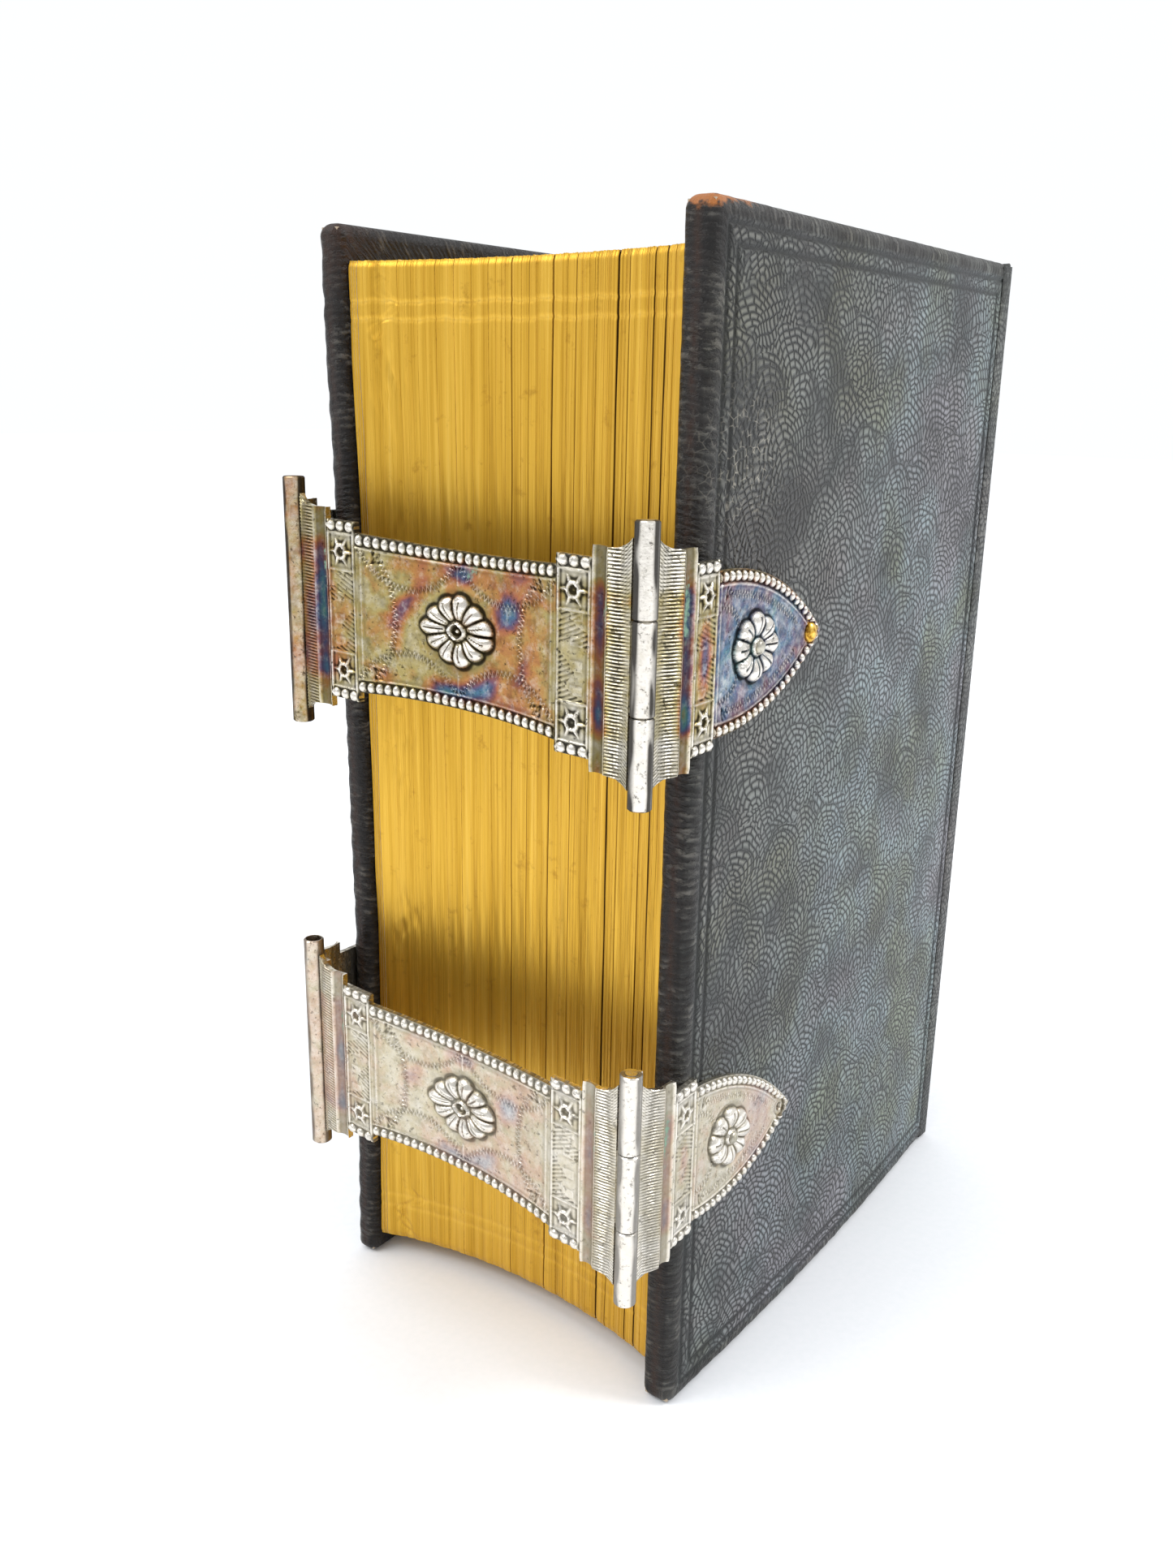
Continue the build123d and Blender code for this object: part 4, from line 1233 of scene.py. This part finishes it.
def strap_tint(clasp):
    """Film thickness, polish and verdigris over a strap."""
    middle = clasp.span / 2
    pale = 0.0 if clasp.name == "upper" else 1.0

    def tint(along, across, raised):
        round_rosette = np.hypot((along - middle) / 1.2, across)
        film = 0.23 + 0.07 * blots(along, across, 16, 21) + 0.08 * blots(along, across, 7, 22)
        # Blue and magenta gather round the rosette and under the garlands.
        broken = np.clip(0.3 + 1.3 * blots(along, across, 7, 23), 0, 1)
        film = film + 0.36 * hills(round_rosette - 6.8, 1.7) * broken
        broken = np.clip(0.1 + 1.1 * blots(along, across, 9, 27), 0, 1)
        film = film + 0.24 * hills(np.abs(across) - 6.6, 1.2) * broken
        film = film + 0.12 * hills(along - 15.5, 4.0)
        bands = np.minimum(np.abs(along - 5.0), np.abs(along - clasp.span + 5.0))
        film = film + 0.42 * hills(bands, 0.9) * (0.7 + 0.5 * blots(across, along, 6, 24))
        edge = np.clip((np.abs(across) - 7.4) / 1.4, 0, 1)
        ends = np.maximum(hills(along - 2.0, 2.0), hills(along - 8.3, 2.0))
        far = hills(along - clasp.span + 2.5, 2.2)
        film = film * (1 - 0.5 * edge) * (1 - 0.45 * ends) + 0.12 * far
        film = film * (1 - 0.2 * pale) + 0.03 * pale
        polish = np.clip(raised / 0.5, 0, 1) * 0.8 + 0.15 * edge + 0.2 * pale + 0.1 * ends - 0.15 * far
        polish = polish - 0.05 + 0.15 * blots(along, across, 6, 25)
        ridges = np.minimum(np.abs(along - 4.2), np.abs(along - clasp.span + 5.5))
        green = 0.9 * hills(ridges, 0.7) * hills(across - 5, 5)
        green = green + 0.85 * hills(np.hypot(along - middle + 2.0, across - 6.8), 2.4) * (1 - pale)
        return film, np.clip(polish, 0, 1), green + 0 * across

    return tint


def plate_tint(clasp, side):
    """Film thickness, polish and verdigris over a plate."""
    pale = 0.0 if clasp.name == "upper" else 1.0

    def tint(along, across, raised):
        film = 0.56 + 0.08 * blots(along, across, 11, 31 + side) - 0.2 * pale
        round_flower = np.hypot(along - FLOWER, across)
        film = film + (0.14 - 0.26 * pale) * hills(round_flower, 5.5)
        film = film + 0.3 * pale * hills(along - 26, 4)
        panel = 0.16 + 0.46 * hills(np.hypot((along - 8.3) / 1.2, across / 3.6), 1.0)
        panel = panel + 0.05 * blots(along, across, 5, 34)
        film = np.where(along < PANEL_END, panel, film)
        smooth = 0.5 + 0.3 * blots(across, along, 7, 33)
        film = np.where(along < PANEL_START, smooth * hills(along - 5.1, 1.1) + 0.14, film)
        film = film * (1 - 0.35 * pale)
        rim_half = np.maximum(ogive_half(np.clip(along, PANEL_END, None)), 0.5)
        edge = np.clip((np.abs(across) / rim_half - 0.8) / 0.12, 0, 1)
        film = film * (1 - 0.5 * edge)
        polish = np.clip(raised / 0.45, 0, 1) * 0.62 + 0.3 * edge + 0.12 * pale
        polish = polish + 0.12 * blots(along, across, 6, 35) + 0.14 * (along > PANEL_END) * (1 - edge)
        green = 1.0 * hills(along - 4.9, 0.9) * hills(across - 5, 7) * (side > 0)
        return film, np.clip(polish, 0, 1), green + 0 * across

    return tint


def rib_relief(pitch):
    """Fine ribs that run along a band, stacked up its height."""
    middle, half = 2.8, 1.25
    return lambda along, across: (
        0.1 * np.cos(2 * pi * across / pitch) * hills((along - middle) / half, 1.0)
    )


def hollow_relief(start, end):
    """A smooth concave band between two thin ridges."""

    def relief(along, across):
        share = (along - start) / (end - start)
        ridges = 0.1 * hills(share - 0.06, 0.09) + 0.1 * hills(share - 0.94, 0.09)
        return -0.32 * np.sin(pi * share) + ridges + 0 * across

    return relief


def panel_relief(start, half):
    """The narrow panel: end beads, a framed star above and below, and a hatched middle."""
    width = PANEL_END - PANEL_START
    middle = start + width / 2

    def relief(along, across):
        from_middle, up = along - middle, np.abs(across)
        height = 0.12 * hills(np.abs(from_middle) - width / 2 + 0.3, 0.13)
        bead = (from_middle / 1.45 - np.floor(from_middle / 1.45 + 0.5)) * 1.45
        height = height + 0.38 * dome(np.hypot(bead / 0.62, (up - half + 0.62) / 0.6))
        star_at = half - 3.55
        height = height + star(from_middle, up - star_at, 2.0, 6, 0.3)
        frame_line = np.maximum(np.abs(from_middle) / 1.95, np.abs(up - star_at) / 2.1)
        height = height + 0.1 * hills((frame_line - 1) * 2, 0.11)
        inside = (up < star_at - 2.3) & (np.abs(from_middle) < 1.85)
        hatch = -0.07 * (0.5 + 0.5 * np.cos(2 * pi * (across + 0.45 * from_middle) / 0.55))
        strokes = blots(from_middle * 0.4, across, 3.2, 41, 3) > -0.1
        blocks = (np.abs(((across + 10) % 2.6) - 1.3) < 0.55) & (np.abs(from_middle + 0.5) < 0.8)
        return height + np.where(inside, hatch * strokes + 0.05 * blocks, 0)

    return relief


def main_relief(clasp, bead_pitch):
    """The strap's long panel: bead borders, garlands of wriggle-work and the rosette."""
    middle = clasp.span / 2
    left, right = PANEL_END, clasp.span - PANEL_END

    def relief(along, across):
        half = strap_half(clasp)(along)
        inward = half - np.abs(across)
        height = beads(along, inward, bead_pitch, 0.72, 0.5, 0.62, 0.42)
        height = height + 0.09 * hills(inward - 1.62, 0.12)
        side_in = np.minimum(along - left, right - along)
        height = height + 0.09 * hills(side_in - 0.7, 0.12) * (inward > 1.5)
        du, up = along - middle, np.abs(across)
        for garland_at in (-7.1, 7.1):
            radius = 8.2
            centre_w = 7.0 + sqrt(radius**2 - 6.6**2)
            reach = np.hypot(du - garland_at, up - centre_w)
            way = radius * np.arctan2(du - garland_at, centre_w - up)
            height = height + wriggle(reach - radius, way) * (inward > 1.7)
        for end in (-1, 1):
            radius, centre_u = 11.0, end * (13.9 + 6.2)
            reach = np.hypot(du - centre_u, across)
            way = radius * np.arctan2(across, np.abs(du - centre_u))
            height = height + wriggle(reach - radius, way) * (inward > 1.7) * (side_in > 0.7)
            height = height - leaf_cuts(du - end * 12.4, up - 6.0, 0.8 * end, 0.5, (0.28, 1.0), 0.9)
        height = height + 0.1 * hills(du, 0.13) * (up > 5.0) * (inward > 1.6)
        diamond = (np.abs(du / 5.9) ** 1.6 + np.abs(across / 5.1) ** 1.6) ** (1 / 1.6)
        height = height - 0.14 * np.clip((1.05 - diamond) / 0.16, 0, 1)
        height = height + flower(du, across, 5.5, 4.2, 11, 0.95, 1.5)
        return height

    return relief


def even(value):
    """The same value all along."""
    return lambda along: value + 0 * along


def bands(place, start, panel_half, levels, thickness, panel_steps, tint):
    """The ribbed band, the hollow band and the narrow panel beside a tube, as zones."""
    rib = bpy.context.scene.book_silver.rib / MM
    edges = (start, RIDGE, PANEL_START, PANEL_END)
    halves = (band_half, band_half, even(panel_half))
    counts = ((9, 420), (17, 40), (47, panel_steps))
    reliefs = (
        rib_relief(rib), hollow_relief(RIDGE, PANEL_START), panel_relief(PANEL_START, panel_half)
    )
    parts = []
    for near, far, half, level, count, relief in zip(
        edges, edges[1:], halves, levels, counts, reliefs
    ):
        parts += zone(place, near, far, half, level, thickness, count, relief, tint)
    return parts


def strap_half(clasp):
    """Half height of the strap's long panel: slightly waisted."""
    middle = clasp.span / 2
    flare = STRAP_HALF - STRAP_WAIST
    return lambda along: STRAP_WAIST + flare * ((along - middle) / (middle - PANEL_END)) ** 2


def strap(clasp):
    """One strap from its knuckle to its end tube, as zones of a pressed sheet."""
    look = bpy.context.scene.book_silver
    span, middle = clasp.span, clasp.span / 2

    def place(along, across, out):
        return clasp.tube_x - along, clasp.tube_y - out, clasp.height + across + clasp.rise * along

    def mirrored(along, across, out):
        return place(span - along, across, out)

    tint = strap_tint(clasp)
    far_tint = lambda along, across, raised: tint(span - along, across, raised)
    levels = (
        lambda along: 0.4 + 0.55 * ((along - 1.2) / 2.8) ** 0.8,
        lambda along: 0.95 - 0.1 * (along - RIDGE),
        even(0.75),
    )
    parts = bands(place, BAND_FROM, STRAP_PANEL_HALF, levels, SHEET, 200, tint)
    parts += bands(mirrored, BAND_FROM, STRAP_PANEL_HALF, levels, SHEET, 200, far_tint)
    hollow = lambda along: 0.75 - STRAP_SAG * (1 - ((along - middle) / (middle - PANEL_END)) ** 2)
    parts += zone(place, PANEL_END, span - PANEL_END, strap_half(clasp), hollow, SHEET, (245, 165),
                  main_relief(clasp, look.bead / MM), tint)
    parts += knuckle(clasp, 1, place, 0.2, (1.15, 1.7), (0.3, -0.3))
    end_height = clasp.catch_height
    parts.append(tube(end_height - clasp.length / 2, end_height + clasp.length / 2,
                      upright(clasp.end_x, clasp.tube_y),
                      hollow=2.5, film=0.3, polish=0.25, relief=0.0, grimy=1.15))
    return make_piece(f"{clasp.name}_clasp_strap", parts, silver(clasp), f"{clasp.name}_strap",
                      [f"{clasp.name}_strap"])


def ogive_relief(bead_pitch, pinned):
    """The pointed leaf: beads along its rim, an inner line, garlands, the flower and a pin's seat."""

    def relief(along, across):
        inward, way = ogive_border(along, across)
        fade = np.clip((PLATE_TIP - 0.4 - along) / 1.0, 0, 1)
        height = beads(way, inward, bead_pitch * 1.12, 0.72, 0.54, 0.56, 0.42) * fade
        height = height + 0.1 * hills(inward - 1.6, 0.13) * fade
        start_in = along - PANEL_END
        height = height + 0.09 * hills(start_in - 0.5, 0.12) * (inward > 1.4)
        height = height + wriggle(inward - 2.7, way) * (along > 12.5) * (along < 28.5)
        du, up = along - FLOWER, np.abs(across)
        reach = np.hypot(du + 8.0, up - 0.3)
        inner = (inward > 1.8) * (start_in > 0.6)
        height = height + wriggle(reach - 5.0, 5.0 * np.arctan2(up, du + 8.0)) * inner
        height = height - leaf_cuts(along - 12.2, up - 5.9, -0.7, 0.45, (0.26, 0.9), 0.7)
        oval = np.hypot(du / 5.0, across / 4.6)
        height = height - 0.14 * np.clip((1.05 - oval) / 0.12, 0, 1)
        height = height + flower(du, across, 4.9, 4.0, 8, 0.9, 1.8)
        pin = np.hypot(along - TIP_PIN, across)
        height = height * (pin > 1.3) - 0.12 * np.clip((1.5 - pin) / 0.3, 0, 1)
        # Where the pin is lost, a deep hole that the silver darkens with painted shade.
        if not pinned:
            height = height - 0.35 * np.clip((0.62 - pin) / 0.15, 0, 1)
        return height

    return relief


def plate(clasp, side, name):
    """One cover plate: bands past the cover's edge, the narrow panel and the pointed leaf."""
    look = bpy.context.scene.book_silver
    height = clasp.height if side > 0 else clasp.catch_height
    fall = clasp.fall if side > 0 else 0.0

    def place(along, across, out):
        drop = fall * np.clip(along - PANEL_END, 0, None)
        y, z = clasp.tube_y + along, height + across - drop
        return side * (HALF + out + lift_off(side, y, z)), y, z

    levels = ((1.2, -1.1), (RIDGE, 0.5), (PANEL_START, PLATE), (PLATE_TIP + 1, PLATE))
    if side < 0:
        levels = ((1.8, 0.3), (RIDGE, 0.5), (PANEL_START, PLATE), (PLATE_TIP + 1, PLATE))
    at, out = zip(*levels)
    level = lambda along: np.interp(along, at, out)
    start = BAND_FROM if side > 0 else 1.85
    tint = plate_tint(clasp, side)
    parts = bands(place, start, PLATE_PANEL_HALF, [level] * 3, PLATE, 195, tint)
    parts += zone(place, PANEL_END, PLATE_TIP, ogive_half, level, PLATE, (205, 150),
                  ogive_relief(look.bead / MM, side < 0 or clasp.name == "upper"), tint)
    if side > 0:
        for which in (0, 2):
            parts += knuckle(clasp, which, place, 0.3, (1.1, 1.6), (-1.0, -1.5))
    else:
        # A lip turns down behind the strap's end tube.
        lip_w = np.linspace(-11, 11, 40)[None, :]
        lip_out = np.linspace(0.0, -1.9, 8)[:, None]
        near, far = (place(along, lip_w, lip_out) for along in (1.82, 2.5))
        parts += slab(patch(*near, film=0.4, polish=0.2), patch(*far))
    body = "back_cover" if side > 0 else "front_cover"
    return make_piece(
        f"{clasp.name}_{name}", parts, silver(clasp), body, [f"{clasp.name}_{name}_plate"],
    )


def silver(clasp):
    """The upper clasp's deep tarnish, or the lower clasp's paler one."""
    if clasp.name == "upper":
        return material_named("rainbow_tarnished_silver", tarnished_silver, 0.95, 0.92)
    return material_named("pale_tarnished_silver", tarnished_silver, 0.6, 0.65)


def pin_head(side, clasp, along, wide, high, stands):
    """A pin's head: a low oval dome turned about the way out of the cover."""
    height = clasp.height if side > 0 else clasp.catch_height
    drop = (clasp.fall if side > 0 else 0.0) * (along - PANEL_END)
    y, z = clasp.tube_y + along, height - drop
    turn = np.linspace(0, pi / 2, 9)[:-1]
    profile = [(0.0, -0.5)]
    profile += [(np.cos(t), stands * np.sin(t) - 0.05) for t in turn] + [(0.0, stands - 0.05)]

    def place(across, up, out):
        x = side * (HALF + PLATE - 0.1 + out + lift_off(side, y, z)) + 0 * across
        return x, y + wide * across, z + high * up

    return revolve(profile, place, 28)


# --- operators ----------------------------------------------------------------------
class BOOK_OT_covers(bpy.types.Operator):
    """Covers the boards in grained leather, with turn-ins and pastedowns"""

    bl_idname = "book.covers"
    bl_label = "Covers"

    def execute(self, context):
        cover_leather(-1, "front")
        cover_leather(1, "back")
        board = material_named("pasteboard", woven, "#8d7a5f", "#6b5a45", 0.9, 0, 0.85)
        endpaper = material_named("cream_endpaper", foxed_paper)
        for side, name in ((-1, "front"), (1, "back")):
            bowed_panel(side, f"{name}_board", f"{name}_bowed_board", board)
            bowed_panel(side, f"{name}_pastedown", f"{name}_bowed_pastedown", endpaper)
        return {"FINISHED"}


class BOOK_OT_pages(bpy.types.Operator):
    """Makes the gilt gatherings and finishes the loose leaves"""

    bl_idname = "book.pages"
    bl_label = "Pages"

    def execute(self, context):
        pitch = 2 * BLOCK_X / GATHERINGS
        for number in range(GATHERINGS):
            left = -BLOCK_X + number * pitch
            gathering(number + 1, left, left + pitch)
        for side, cover in ((-1, "front"), (1, "back")):
            for leaf in ("flyleaf", "endleaf", "second_leaf"):
                loose_leaf(side, f"{cover}_{leaf}")
        return {"FINISHED"}


class BOOK_OT_spine(bpy.types.Operator):
    """Makes the spine leather and joints and finishes the sewing"""

    bl_idname = "book.spine"
    bl_label = "Spine"

    def execute(self, context):
        spine_leather()
        joint_leather(-1, "front")
        joint_leather(1, "back")
        for name, light, dark, stripe, axis, roughness, nodes in (
            ("striped_silk", "#d8c9a4", "#7a2e22", 1.1, 0, 0.45, ("head_headband", "tail_headband")),
            ("linen_tape_weave", "#d9cdb2", "#a8997a", 0.35, 2, 0.8, ("sewing_tapes",)),
            ("linen_thread_twist", "#e4dac2", "#b9aa8a", 0.5, 2, 0.75, ("sewing_threads",)),
            ("lining_paper_laid", "#b7a680", "#8f7f5d", 1.2, 2, 0.85, ("spine_lining",)),
        ):
            weave = material_named(name, woven, light, dark, stripe, axis, roughness)
            for node in nodes:
                repaint(node, weave)
        return {"FINISHED"}


class BOOK_OT_clasps(bpy.types.Operator):
    """Makes the silver straps, hinge plates and catch plates"""

    bl_idname = "book.clasps"
    bl_label = "Clasps"

    def execute(self, context):
        for clasp in CLASPS:
            strap(clasp)
            plate(clasp, 1, "hinge")
            plate(clasp, -1, "catch")
            repaint(f"{clasp.name}_hinge_pin", silver(clasp))
        brass = material_named("worn_brass_pins", worn_brass)
        heads = [pin_head(-1, clasp, TIP_PIN, 1.1, 1.3, 0.85) for clasp in CLASPS]
        make_piece("front_brass_pins", heads, brass, "front_cover", ["front_tip_pins"])
        heads = [pin_head(1, CLASPS[0], TIP_PIN, 1.1, 1.3, 0.85)]
        make_piece("back_brass_pin", heads, brass, "back_cover", ["back_tip_pin"])
        heads = [pin_head(-1, clasp, FLOWER, 0.75, 0.75, 1.0) for clasp in CLASPS]
        make_piece(
            "front_rivet_heads", heads, silver(CLASPS[0]), "front_cover", ["front_flower_rivets"],
        )
        repaint("back_flower_rivets", silver(CLASPS[0]))
        return {"FINISHED"}


class BOOK_OT_stage(bpy.types.Operator):
    """Sets the pale floor, the soft light and the camera"""

    bl_idname = "book.stage"
    bl_label = "Stage"

    def execute(self, context):
        look = context.scene.book_stage
        scene = context.scene
        scene.view_settings.view_transform = "Standard"
        world = bpy.data.worlds.new("white_room")
        world.use_nodes = True
        room = world.node_tree
        direction = add(room, "TexCoord").outputs["Generated"]
        # The room is a little darker low in front of the book, where its viewer stands.
        towards = add(room, "VectorMath", (direction, (0.5, -0.8, 0.33)), "DOT_PRODUCT")
        shade = add(room, "MapRange", (towards.outputs["Value"], 0.1, 0.95, 1.03, 0.7))
        room.nodes["Background"].inputs["Color"].default_value = linear("#fbfdff")
        strength = add(room, "Math", (shade, look.world), "MULTIPLY")
        room.links.new(strength.outputs[0], room.nodes["Background"].inputs["Strength"])
        scene.world = world
        size = 3000.0
        edge = np.linspace(-size, size, 5)
        floor = patch(edge[:, None], edge[None, :], -0.02)
        material, tree = new_material("white_paper_floor")
        grain = add(
            tree, "TexNoise", {"Vector": add(tree, "TexCoord").outputs["Object"], "Scale": 900.0}
        )
        paper = add(tree, "ValToRGB", (grain,))
        set_ramp(paper, [(0.3, "#f7f9fc"), (0.7, "#fbfcff")])
        surfaced(material, {"Base Color": paper, "Roughness": 0.9, "Specular IOR Level": 0.1})
        make_piece("floor", [floor], material)
        sun = bpy.data.lights.new("sky_light", "SUN")
        sun.energy, sun.angle = 1.0, radians(50)
        sky = bpy.data.objects.new("sky_light", sun)
        sky.rotation_euler = Vector((0.3, 0.45, -0.84)).to_track_quat("-Z", "Y").to_euler()
        scene.collection.objects.link(sky)
        for name, energy, width, spot, aim in (
            ("window_light", 1.5, 0.4, (-0.35, -0.55, 0.7), (0, 0, 0.07)),
            ("side_light", 4.0, 0.3, (0.6, 0.3, 0.75), (0, 0, 0.07)),
        ):
            lamp = bpy.data.lights.new(name, "AREA")
            lamp.energy, lamp.size = energy, width
            holder = bpy.data.objects.new(name, lamp)
            holder.location = spot
            holder.rotation_euler = (Vector(aim) - Vector(spot)).to_track_quat("-Z", "Y").to_euler()
            scene.collection.objects.link(holder)
        self.camera(scene, look.lens)
        return {"FINISHED"}

    def camera(self, scene, lens):
        """Stands the camera in front of the fore-edge, to the front cover's side, looking down."""
        azimuth, fall, roll = map(radians, CAMERA_TURN)
        across, ahead = -np.sin(azimuth) * np.cos(fall), np.cos(azimuth) * np.cos(fall)
        forward = Vector((across, ahead, -np.sin(fall)))
        level = forward.cross(Vector((0, 0, 1))).normalized()
        upward = level.cross(forward)
        right = np.cos(roll) * level + np.sin(roll) * upward
        top = -np.sin(roll) * level + np.cos(roll) * upward
        data = bpy.data.cameras.new("camera")
        data.lens = lens
        data.sensor_width = 36
        data.clip_start = 0.005
        camera = bpy.data.objects.new("camera", data)
        turn = Matrix((right, top, -forward)).transposed().to_4x4()
        camera.matrix_world = Matrix.Translation(CAMERA_PLACE) @ turn
        scene.collection.objects.link(camera)
        scene.camera = camera


class BOOK_PT_panel(bpy.types.Panel):
    """Lists the book's steps and settings"""

    bl_idname = "BOOK_PT_panel"
    bl_label = "Prayer Book"
    bl_space_type = "VIEW_3D"
    bl_region_type = "UI"
    bl_category = "Prayer Book"

    def draw(self, context):
        for step in STEPS:
            self.layout.operator(step.bl_idname)
        for name, group in SETTINGS.items():
            for key in group.__annotations__:
                self.layout.prop(getattr(context.scene, name), key)


SETTINGS = {
    "book_leather": LeatherSettings,
    "book_pages": PageSettings,
    "book_silver": SilverSettings,
    "book_stage": StageSettings,
}
STEPS = (BOOK_OT_stage, BOOK_OT_covers, BOOK_OT_pages, BOOK_OT_spine, BOOK_OT_clasps)


def register():
    """Registers the settings, the steps and the panel."""
    for item in (*SETTINGS.values(), *STEPS, BOOK_PT_panel):
        bpy.utils.register_class(item)
    for name, group in SETTINGS.items():
        setattr(bpy.types.Scene, name, bpy.props.PointerProperty(type=group))


def unregister():
    """Removes everything that register added."""
    for name in SETTINGS:
        delattr(bpy.types.Scene, name)
    for item in (BOOK_PT_panel, *reversed(STEPS), *SETTINGS.values()):
        bpy.utils.unregister_class(item)


def main():
    """Runs every step in order."""
    register()
    bpy.ops.book.stage()
    bpy.ops.book.covers()
    bpy.ops.book.pages()
    bpy.ops.book.spine()
    bpy.ops.book.clasps()


if __name__ == "__main__":
    main()
